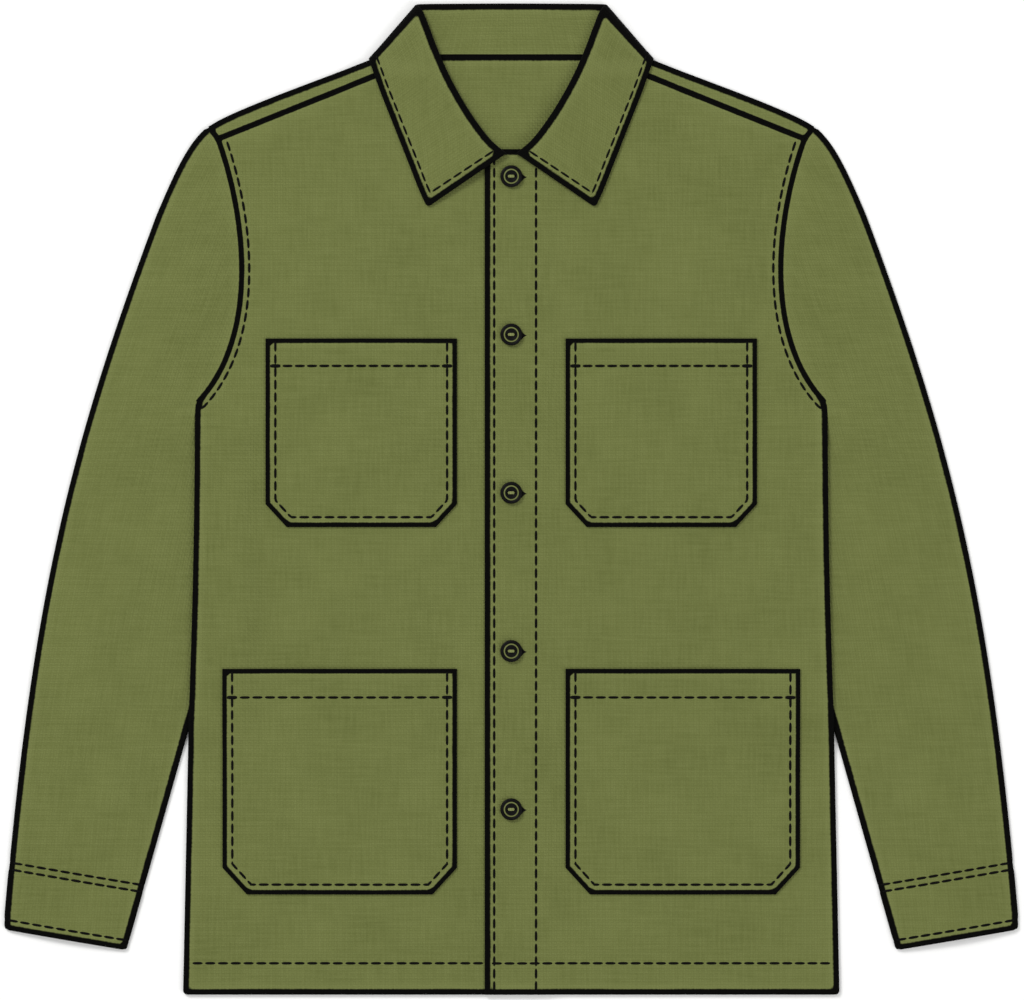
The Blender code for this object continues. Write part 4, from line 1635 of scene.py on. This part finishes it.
    def build(self, canvas: Material, thread: Material) -> Made:
        """Makes the sleeve and its cuff's stitches, all round.

        Args:
            canvas: Finish of the cloth.
            thread: Finish of the stitches.

        Returns:
            The made piece.
        """
        sign = self.side.value
        x, y, z, around, keep = self.tube()
        points = np.stack((sign * x, y, z), axis=-1)
        outer_column = x.shape[1] // 2
        upper = np.arange(x.shape[1]) <= outer_column
        swell = np.where(upper, self.swell(x, y), np.minimum(self.swell(x, y), 0.0))
        tube = Sheet(points, np.stack((around, y), axis=-1), swell, keep)
        folds = [points[:, outer_column], points[self.rows() < self.fold_drawn_y, 0]]
        hole = BODY.armhole(self.side, 0.0, BODY.underarm[1], self.inner_y[-1])
        levels = (PLY / 2, PLY / 2 + STEP)
        seams = [np.concatenate((hole, np.full((len(hole), 1), level)), axis=1) for level in levels]
        corner = np.array((sign * BODY.underarm[0], BODY.underarm[1], PLY / 2 + STEP))
        name = f"sleeve_{self.side.word}"
        piece = shell(f"{name}_tube", [tube if self.side is Side.LEFT else tube.turned()], PLY, canvas,
                      folds, seams, ends=[corner], painted_shade_band=4.5)
        sewing = Topstitch()
        start, end = self.cuff_ends()
        along = unit(end - start)
        up = np.array((-along[1], along[0]))
        inside, outside = self.row_ends_inside
        for row in self.cuff_rows:
            first = start + up * row
            last_y = first[1] + self.outer_y[0] - self.inner_y[0]
            line_x = np.array((self.inner_x(first[1]) + inside, self.outer_x(last_y) - outside))
            line_y = first[1] + (line_x - first[0]) * along[1] / along[0]
            ends = np.stack((sign * line_x, line_y), axis=1)
            sewing.sew_on(self.outer, ends)
            sewing.sew_on(self.lower, ends, down=True)
        stitches = sewing.build(f"{name}_stitches", thread)
        return Made(piece, name, self.flat, self.area, ("table",), stitches)

    def folded(self, x: Array, y: Array, crown: Array) -> Array:
        """Rise of the creases, which fade out towards the folds."""
        return self.crease_times * creased(SLEEVE_CREASES[self.side], x, y) * ease(crown, 0.05, 0.5)

    def outer(self, x: Array, y: Array) -> Array:
        """Height of the upper ply's outer surface near the cuff, a half sine between the folds.

        Args:
            x: Places across, on either side.
            y: Places along.

        Returns:
            The height at each place.
        """
        x = np.abs(x)
        inner = self.inner_x(y) + PLY / 2 + STEP / 2
        outer = self.outer_x(y) - PLY / 2 - STEP / 2
        crown = np.sin(np.pi * np.clip((x - inner) / (outer - inner), 0.0, 1.0))
        return 2 * PLY + 0.3 + self.puff * crown + self.folded(x, y, crown) + self.swell(x, y)

    def lower(self, x: Array, y: Array) -> Array:
        """Height where the lower ply's stitches lie."""
        return self.underside - np.minimum(self.swell(np.abs(x), y), 0.0)


# ---- collar

@dataclass
class Collar:
    """Turn-down collar in one ring: a stand up from the neck seam, a roll, and the leaf.

    Each section gives the seam, the fold and the leaf's edge as points, and the side that the leaf
    lies on in degrees: 0 above the stand, 90 outside it, 180 below it.
    """

    sections: tuple[tuple[float, ...], ...] = (
        (11.6, 283.4, 5.45, 5.0, 282.4, 6.8, 68.9, 239.0, 4.0, 0.0),
        (23.4, 286.8, 5.2, 16.4, 291.2, 6.9, 75.0, 252.0, 4.0, 0.0),
        (43.6, 290.8, 3.4, 28.5, 306.0, 6.9, 82.7, 271.5, 4.0, 0.0),
        (59.0, 298.9, 2.8, 41.4, 326.0, 6.9, 91.0, 292.5, 4.0, 0.0),
        (68.4, 304.0, 2.8, 52.5, 347.0, 6.9, 99.3, 313.5, 4.7, 0.0),
        (82.0, 318.6, 3.4, 62.3, 369.4, 6.9, 107.4, 334.0, 5.6, 0.0),
        (88.8, 336.0, 4.0, 69.1, 387.4, 6.9, 112.6, 348.6, 5.8, 0.0),
        (95.8, 353.0, 4.6, 74.4, 399.6, 6.8, 115.7, 357.4, 5.6, 0.0),
        (95.6, 360.5, 4.8, 76.5, 402.2, 6.1, 116.4, 359.6, 4.6, 45.0),
        (96.2, 365.9, 3.8, 77.8, 403.2, 4.5, 116.4, 360.8, 3.0, 90.0),
        (95.6, 364.9, 2.8, 76.9, 403.8, 2.9, 115.2, 360.4, 1.4, 135.0),
        (88.0, 363.9, 2.6, 72.0, 404.1, 2.05, 108.0, 356.0, 0.8, 180.0),
        (60.0, 363.5, 2.6, 48.0, 404.3, 2.05, 70.0, 352.4, 0.8, 180.0),
        (30.0, 363.5, 2.6, 24.0, 404.4, 2.05, 35.0, 351.4, 0.8, 180.0),
        (0.0, 363.5, 2.6, 0.0, 404.45, 2.05, 0.0, 351.0, 0.8, 180.0),
    )
    roll: float = 1.25
    bulge: float = 1.5
    inset: float = 7.6
    soften: float = 1.2
    blunt: float = 2.4
    fine: float = 0.5           # spacing at which the ring is smoothed
    reach: int = 16             # half the width of the bell, in such spacings
    stand_grid: Point = (40.0, 3.5)         # length and spacing of the grid's lines
    leaf_grid: Point = (55.0, 3.0)
    end_rows: int = 60                      # more than the row at a front edge can cross
    tucked: Point = (60.0, 120.0)           # angles between which the leaf turns under
    turned_at: Point = (40.0, 90.0)         # angles at which its turn shows as a fold
    thread: float = 1.7
    underside: float = 0.45
    flat: Point = (0.47, 0.1)
    area: float = 0.0425

    def ring(self) -> Array:
        """Sections from the wearer's left front around the back to the right front.

        They are laid closely along the fold and smoothed with a bell-shaped average. Beyond both ends
        the run is continued point-symmetrically, so the ends stay where they are. Every third section
        is kept, and more of them at both ends.

        Returns:
            One row of section numbers a place.
        """
        half = np.array(self.sections)
        mirror = np.array((-1, 1, 1, -1, 1, 1, -1, 1, 1, 1), dtype=float)
        whole = np.concatenate((half, (half * mirror)[-2::-1]))
        steps = np.linalg.norm(np.diff(whole[:, 3:6], axis=0), axis=1)
        steps = steps + 0.35 * np.linalg.norm(np.diff(whole[:, 6:9], axis=0), axis=1)
        run = np.concatenate(((0.0,), np.cumsum(steps)))
        count = int(round(run[-1] / self.fine)) // 2 * 2 + 1
        places = np.linspace(0.0, run[-1], count)
        dense = smooth_through(places, run, whole)
        before = 2 * dense[:1] - dense[self.reach:0:-1]
        after = 2 * dense[-1:] - dense[-2:-self.reach - 2:-1]
        padded = np.concatenate((before, dense, after))
        bell = np.exp(-0.5 * (np.arange(-self.reach, self.reach + 1) * self.fine / self.soften) ** 2)
        bell = bell / bell.sum()
        smooth = np.stack([np.convolve(column, bell, mode="valid") for column in padded.T], axis=1)
        ends = np.array((0, 1, 2, 3, 5))
        thin = np.unique(np.concatenate((ends, np.arange(6, count - 6, 3), count - 1 - ends)))
        return smooth[thin]

    def surface(self) -> tuple[Array, Array]:
        """Middle surface of the collar.

        Across it run the stand, straight from the seam to the roll, then the roll, a half circle turned
        by the section's angle, then the leaf, whose height falls with the share to the power of bulge.

        Returns:
            The points, and the share of the leaf in each column, negative before the leaf.
        """
        ring = self.ring()
        side = np.where(ring[:, :1] >= 0.0, 1.0, -1.0)
        seam, fold, edge = ring[:, 0:3], ring[:, 3:6], ring[:, 6:9]
        turn = np.radians(ring[:, 9:10])
        out = unit((fold - seam) * (1.0, 1.0, 0.0))
        outward = np.cross(out, (0.0, 0.0, 1.0)) * side
        outward[np.abs(ring[:, 0]) < 1e-6] = 0.0
        across = np.cos(turn) * np.array((0.0, 0.0, 1.0)) + np.sin(turn) * outward
        angles = np.linspace(0.0, np.pi, 11)
        roll = [fold + self.roll * (np.sin(angle) * out - np.cos(angle) * across) for angle in angles]
        length, step = self.stand_grid
        shares = grid_lines(0.0, length, step)[:-1] / length
        stand = [seam + share * (roll[0] - seam) for share in shares]
        fall = edge - roll[-1]
        # The leaf's first four lines would lie within the roll's last ones.
        length, step = self.leaf_grid
        shares = grid_lines(0.0, length, step, (length - self.inset,))[4:] / length
        leaf = [roll[-1] + fall * (share, share, share ** self.bulge) for share in shares]
        points = np.stack(stand + roll + leaf, axis=1)
        points = blunted(points, (0, -1), (10, -6), self.blunt)
        points = blunted(points, (-1, -1), (-10, -6), self.blunt)
        return points, np.concatenate((np.full(len(stand) + len(roll) - 1, -1.0), (0.0,), shares))

    def row_across(self, points: Array, columns: Array, front: bool) -> Array:
        """Places of the row beside the leaf's front edge, on the given columns.

        Args:
            points: Points of the middle surface.
            columns: Columns that the row crosses.
            front: Whether it is the wearer's left end of the ring.

        Returns:
            A row number with its fraction for each column, where the distance from the end is inset.
        """
        rows = points[:self.end_rows] if front else points[::-1][:self.end_rows]
        start, end = rows[0, columns[0], :2], rows[0, columns[-1], :2]
        run = unit(end - start)
        away = np.abs((rows[..., 0] - start[0]) * run[1] - (rows[..., 1] - start[1]) * run[0])
        count = np.arange(len(rows))
        found = np.array([np.interp(self.inset, away[:, column], count) for column in columns])
        return found if front else len(points) - 1 - found

    def build(self, canvas: Material, thread: Material) -> Made:
        """Makes the collar and the leaf's row of stitches.

        Args:
            canvas: Finish of the cloth.
            thread: Finish of the stitches.

        Returns:
            The made piece.
        """
        points, shares = self.surface()
        leaf = np.flatnonzero(shares >= 0.0)
        along = run_of(points[:, leaf[0]])[:, None]
        across = np.linalg.norm(np.diff(points, axis=1), axis=2)
        across = np.concatenate((np.zeros((len(points), 1)), np.cumsum(across, axis=1)), axis=1)
        from_edge = across[:, -1:] - across
        row = sewn_in(from_edge - self.inset, along) + band(from_edge - self.inset, 0.2)
        swell = np.where((shares >= 0.0) & (from_edge < 20.0), row, 0.0)
        turn = self.ring()[:, 9]
        below = ease(turn, *self.tucked)[:, None]
        swell = swell - below * np.maximum(swell, 0.0)
        weave = np.stack(np.broadcast_arrays(along, across), axis=-1)
        roll_top = leaf[0] - 5
        turned = [int(row) for angle in self.turned_at for row in np.flatnonzero(np.diff(turn > angle))]
        behind = np.flatnonzero(turn >= 90.0)
        folds = [points[behind, roll_top]] + [points[row, roll_top:] for row in turned]
        upper = points[:, roll_top] + (0.0, 0.0, self.roll)
        piece = shell("collar_ring", [Sheet(points, weave, swell)], COLLAR_PLY, canvas, folds,
                      covered=[points[:, 0]], over=[upper[:behind[0] + 1], upper[behind[-1]:]], painted_shade_band=4.7)
        normals = unit(np.cross(np.gradient(points, axis=1), np.gradient(points, axis=0)))
        outside = points + normals * (COLLAR_PLY / 2 + swell - self.underside * below)[..., None]
        row_places = self.row_places(points, leaf[2:], from_edge)
        sewing = Topstitch(width=self.thread)
        sewing.sew(*(self.sampled(values, *row_places) for values in (outside, normals)))
        stitches = sewing.build("collar_stitches", thread)
        return Made(piece, "collar", self.flat, self.area, ("back_panel", "front_left_panel"), stitches)

    def row_places(self, points: Array, inner: Array, from_edge: Array) -> tuple[Array, Array]:
        """Places of the leaf's stitched row, which runs beside its two front edges and its long one.

        Args:
            points: Points of the middle surface.
            inner: Columns of the leaf.
            from_edge: Distance of each point from the leaf's edge.

        Returns:
            The row numbers and the column numbers, with their fractions.
        """
        rows, columns = points.shape[:2]
        crossing = np.array([np.interp(-self.inset, -distance, np.arange(columns)) for distance in from_edge])
        first, last = self.row_across(points, inner, True), self.row_across(points, inner, False)
        start, end = (int(np.searchsorted(inner, crossing[int(found[-4])])) for found in (first, last))
        outer_rows = np.arange(first[start], last[end] + 0.01)
        along = np.concatenate((first[:start], outer_rows, last[:end][::-1]))
        across = np.concatenate((inner[:start], np.interp(outer_rows, np.arange(rows), crossing),
                                 inner[:end][::-1])).astype(float)
        return along, across

    def sampled(self, values: Array, along: Array, across: Array) -> Array:
        """Values between the grid's points, by the four nearest of them in proportion.

        Args:
            values: Values at the grid's points.
            along: Row numbers with their fractions.
            across: Column numbers with their fractions.

        Returns:
            One value a place.
        """
        low = [np.clip(np.floor(place).astype(int), 0, size - 2)
               for place, size in zip((along, across), values.shape)]
        r, c = low
        up, right = (along - r)[:, None], (across - c)[:, None]
        below = values[r, c] * (1 - right) + values[r, c + 1] * right
        above = values[r + 1, c] * (1 - right) + values[r + 1, c + 1] * right
        return below * (1 - up) + above * up


# ---- buttons

@dataclass
class Buttons:
    """Column of turned horn buttons, each with its buttonhole's end and its sewn bar of thread."""

    radius: float = 9.0
    hole_x: float = 2.75
    hole_radius: float = 0.95
    hole_soft: float = 0.25
    hole_depth: float = 1.5
    spokes: int = 84
    top_rings: int = 44
    top_ends: int = 14          # corner of the profile where the top ends
    strand: float = 0.44
    strand_places: tuple[Point, ...] = ((-0.72, 0.84), (0.0, 1.0), (0.72, 0.84))
    bar_reach: float = 0.35
    slit_start: float = 7.6
    slit_beyond: float = 3.6
    slit_below: float = 0.7
    profile: tuple[Point, ...] = (
        (0.0, 2.25), (1.5, 2.27), (3.0, 2.35), (4.2, 2.5), (4.8, 2.58), (5.15, 2.5), (5.35, 2.3),
        (5.7, 2.16), (6.1, 2.16), (6.45, 2.32), (6.65, 2.66), (7.0, 2.9), (7.5, 3.0), (8.1, 2.98),
        (8.55, 2.82), (8.85, 2.5), (9.0, 2.0), (9.0, 1.0), (8.85, 0.4), (8.5, 0.08), (8.0, 0.0),
        (4.0, 0.0), (0.0, 0.0))

    def disc(self, node: str, material: Material) -> Piece:
        """One button.

        The profile is carried round the axis. Each hole sinks the top by a smooth step of the distance
        from its middle.

        Args:
            node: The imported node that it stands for.
            material: Its finish.

        Returns:
            The button, with "radius", the distance from its axis in millimetres.
        """
        corners = np.array(self.profile)
        run = run_of(corners)
        top = np.linspace(0.0, run[self.top_ends], self.top_rings)
        places = np.concatenate((top, run[self.top_ends + 1:]))[1:-1, None]
        radius, height = (np.interp(places, run, corners[:, part]) for part in (0, 1))
        angle = np.arange(self.spokes)[None, :] * 2.0 * np.pi / self.spokes
        x, y = radius * np.cos(angle), radius * np.sin(angle)
        from_hole = np.minimum(np.hypot(x - self.hole_x, y), np.hypot(x + self.hole_x, y))
        ends = (self.hole_radius + self.hole_soft, self.hole_radius - self.hole_soft)
        on_top = np.arange(len(radius))[:, None] < self.top_rings - 1
        z = height - np.where(on_top, self.hole_depth * ease(from_hole, *ends), 0.0)
        grid = np.stack((x, y, z), axis=-1).reshape(-1, 3)
        poles = np.array(((0.0, 0.0, self.profile[0][1]), (0.0, 0.0, 0.0)))
        points = np.concatenate((grid, poles)) + node_base(node)
        faces = as_faces(closed_rings(np.arange(x.size).reshape(x.shape), x.size, x.size + 1))
        away = np.concatenate((np.broadcast_to(radius, x.shape).ravel(), (0.0, 0.0)))
        return make_object(f"{node}_turned", points, faces, material, radius=away)

    def tube(self, path: Array, wide: Array, tall: Array, count: int) -> tuple[Array, Array]:
        """Tube along a path in X and Z.

        Around each point stands an ellipse in Y and the path's normal. The ends close to a point.

        Args:
            path: Points of the path, one a row.
            wide: Half width in Y at each point.
            tall: Half height at each point.
            count: Points around the tube.

        Returns:
            Its vertices and its faces' corners.
        """
        run = unit(np.gradient(path, axis=0))
        normal = np.stack((-run[:, 2], np.zeros(len(run)), run[:, 0]), axis=1)
        angle = np.arange(count) * 2.0 * np.pi / count
        rings = (path[:, None] + normal[:, None] * (tall[:, None] * np.sin(angle))[..., None]
                 + np.array((0.0, 1.0, 0.0)) * (wide[:, None] * np.cos(angle))[..., None])
        index = np.arange(len(path) * count).reshape(len(path), count)
        index[0], index[-1] = index[0, 0], index[-1, 0]
        return rings.reshape(-1, 3), between_rings(index)[:, (0, 3, 2, 1)]

    def threads(self, nodes: Sequence[str], material: Material) -> Piece:
        """Bars of thread over every button: three strands side by side between its two holes.

        A strand's height is 1.35 + 1.5 (1 - |x/reach|^3) above the button's base.

        Args:
            nodes: The buttons' nodes.
            material: Finish of the thread.

        Returns:
            The piece of thread.
        """
        reach = self.hole_x + self.bar_reach
        t = np.linspace(-1.0, 1.0, 17)
        size = self.strand * np.sqrt(np.maximum(1.0 - t ** 8, 0.0))
        work, count = ThreadWork(), 8
        for node in nodes:
            base = node_base(node)
            for shift, share in self.strand_places:
                path = np.stack((base[0] + share * reach * t, np.full_like(t, base[1] + shift),
                                 base[2] + 1.35 + 1.5 * (1.0 - np.abs(t) ** 3)), axis=1)
                around = np.tile(np.arange(count) * 0.35, len(t))
                work.gather(*self.tube(path, size, size, count),
                            np.stack((np.repeat(path[:, 0], count), around), axis=1))
        return work.build("button_threads", material)

    def holes(self, nodes: Sequence[str], surface: Surface, material: Material) -> Piece:
        """Worked ends of the buttonholes, which point out from under the buttons.

        The half width is 0.25 + 4.4 (1 - s)^1.7 with s the share from under the button to the point.

        Args:
            nodes: The buttons' nodes.
            surface: Height of the front that they are cut in.
            material: Finish of the thread.

        Returns:
            The piece of thread.
        """
        s = np.linspace(0.0, 1.0, 25)
        wide = (0.25 + 4.4 * (1.0 - s) ** 1.7) * np.sqrt(np.maximum(1.0 - s ** 16, 0.0))
        wide = wide * np.minimum(s * 8, 1)
        work, count = ThreadWork(), 12
        for node in nodes:
            base = node_base(node)
            x = base[0] + self.slit_start + (self.radius - self.slit_start + self.slit_beyond) * s
            y = np.full_like(x, base[1] - self.slit_below)
            path = np.stack((x, y, surface(x, y) + 0.05), axis=1)
            rings, quads = self.tube(path, wide, np.minimum(wide, 0.42), count)
            work.gather(rings, quads, np.stack((np.repeat(x, count), rings[:, 1]), axis=1))
        return work.build("buttonhole_ends", material)

    def build(self, front: Front, horn: Material, olive: Material, black: Material) -> None:
        """Makes the buttons, their threads and the ends of their buttonholes.

        Args:
            front: The front that the buttonholes are in.
            horn: Finish of the buttons.
            olive: Finish of the thread that holds them.
            black: Finish of the buttonholes.
        """
        nodes = sorted(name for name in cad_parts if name.startswith("button_"))
        for node in nodes:
            disc = self.disc(node, horn)
            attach(disc, "root")
            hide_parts(node)
            LOG.info("%s: %d faces", disc.name, len(disc.data.polygons))
        for piece in (self.threads(nodes, olive), self.holes(nodes, front.outer, black)):
            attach(piece, "root")
            LOG.info("%s: %d faces", piece.name, len(piece.data.polygons))


# ---- studio

@dataclass
class Studio:
    """White table, soft lights and a camera straight above the jacket."""

    view_width: float = 0.8397
    centre: Point = (0.0006, -0.0008)
    lens: float = 200.0
    sensor: float = 36.0
    above: float = 0.003
    key: tuple[float, ...] = (-2.6, 3.0, 3.4, 1.6, 150.0)
    fill: tuple[float, ...] = (3.0, -2.6, 3.0, 2.4, 62.0)
    sky: float = 0.6
    table_half: float = 4000.0
    table_z: float = -0.12

    def table(self, material: Material) -> None:
        """Lays the table just under the jacket.

        Args:
            material: Finish of the table.
        """
        edge = np.array(((-1, -1), (1, -1), (1, 1), (-1, 1)), dtype=float) * self.table_half
        corners = np.concatenate((edge, np.full((4, 1), self.table_z)), axis=1)
        top = make_object("table", corners, [[0, 1, 2, 3]], material)

    def light(self, name: str, numbers: tuple[float, ...]) -> None:
        """Adds a square area light that faces the middle of the jacket.

        Args:
            name: Name of the light.
            numbers: X, Y and Z of its place and its side in metres, and its power in watts.
        """
        x, y, z, side, power = numbers
        lamp = bpy.data.lights.new(name, "AREA")
        lamp.energy = power
        lamp.size = side
        holder = bpy.data.objects.new(name, lamp)
        holder.location = (x, y, z)
        holder.rotation_euler = (float(np.arctan2(float(np.hypot(x, y)), z)), 0.0, float(np.arctan2(x, -y)))
        bpy.context.scene.collection.objects.link(holder)

    def build(self, paper: Material) -> None:
        """Sets up table, lights, surroundings and camera.

        Args:
            paper: Finish of the table.
        """
        self.table(paper)
        self.light("key", self.key)
        self.light("fill", self.fill)
        world = bpy.data.worlds.new("studio")
        world.use_nodes = True
        backdrop = world.node_tree.nodes["Background"]
        backdrop.inputs["Color"].default_value = (1.0, 1.0, 1.0, 1.0)
        backdrop.inputs["Strength"].default_value = self.sky
        scene = bpy.context.scene
        scene.world = world
        scene.view_settings.view_transform = "Standard"
        eye = bpy.data.cameras.new("camera")
        eye.lens = self.lens
        eye.sensor_width = self.sensor
        eye.clip_end = 50.0
        camera = bpy.data.objects.new("camera", eye)
        distance = self.view_width * self.lens / self.sensor
        camera.location = (*self.centre, distance + self.above)
        scene.collection.objects.link(camera)
        scene.camera = camera


def main() -> None:
    """Builds the jacket piece by piece, then the studio."""
    logging.basicConfig(level=logging.INFO, format="%(name)s %(message)s")
    canvas = Canvas().build()
    black = Thread("Waxed cotton thread, black", "#030303", "#0C0C0B").build()
    olive = Thread("Waxed cotton thread, olive", "#757C48", "#8E9560").build()
    Studio().build(Paper().build())
    fronts = {side: Front(side) for side in Side}
    panels = [Back(), *fronts.values(), *(Sleeve(side) for side in Side)]
    panels += [PatchPocket(place, side) for place in Place for side in Side] + [Collar()]
    made = [panel.build(canvas, black) for panel in panels]
    for piece in made:
        piece.declare()
    Buttons().build(fronts[Side.LEFT], Horn().build(), olive, black)


if __name__ == "__main__":
    main()
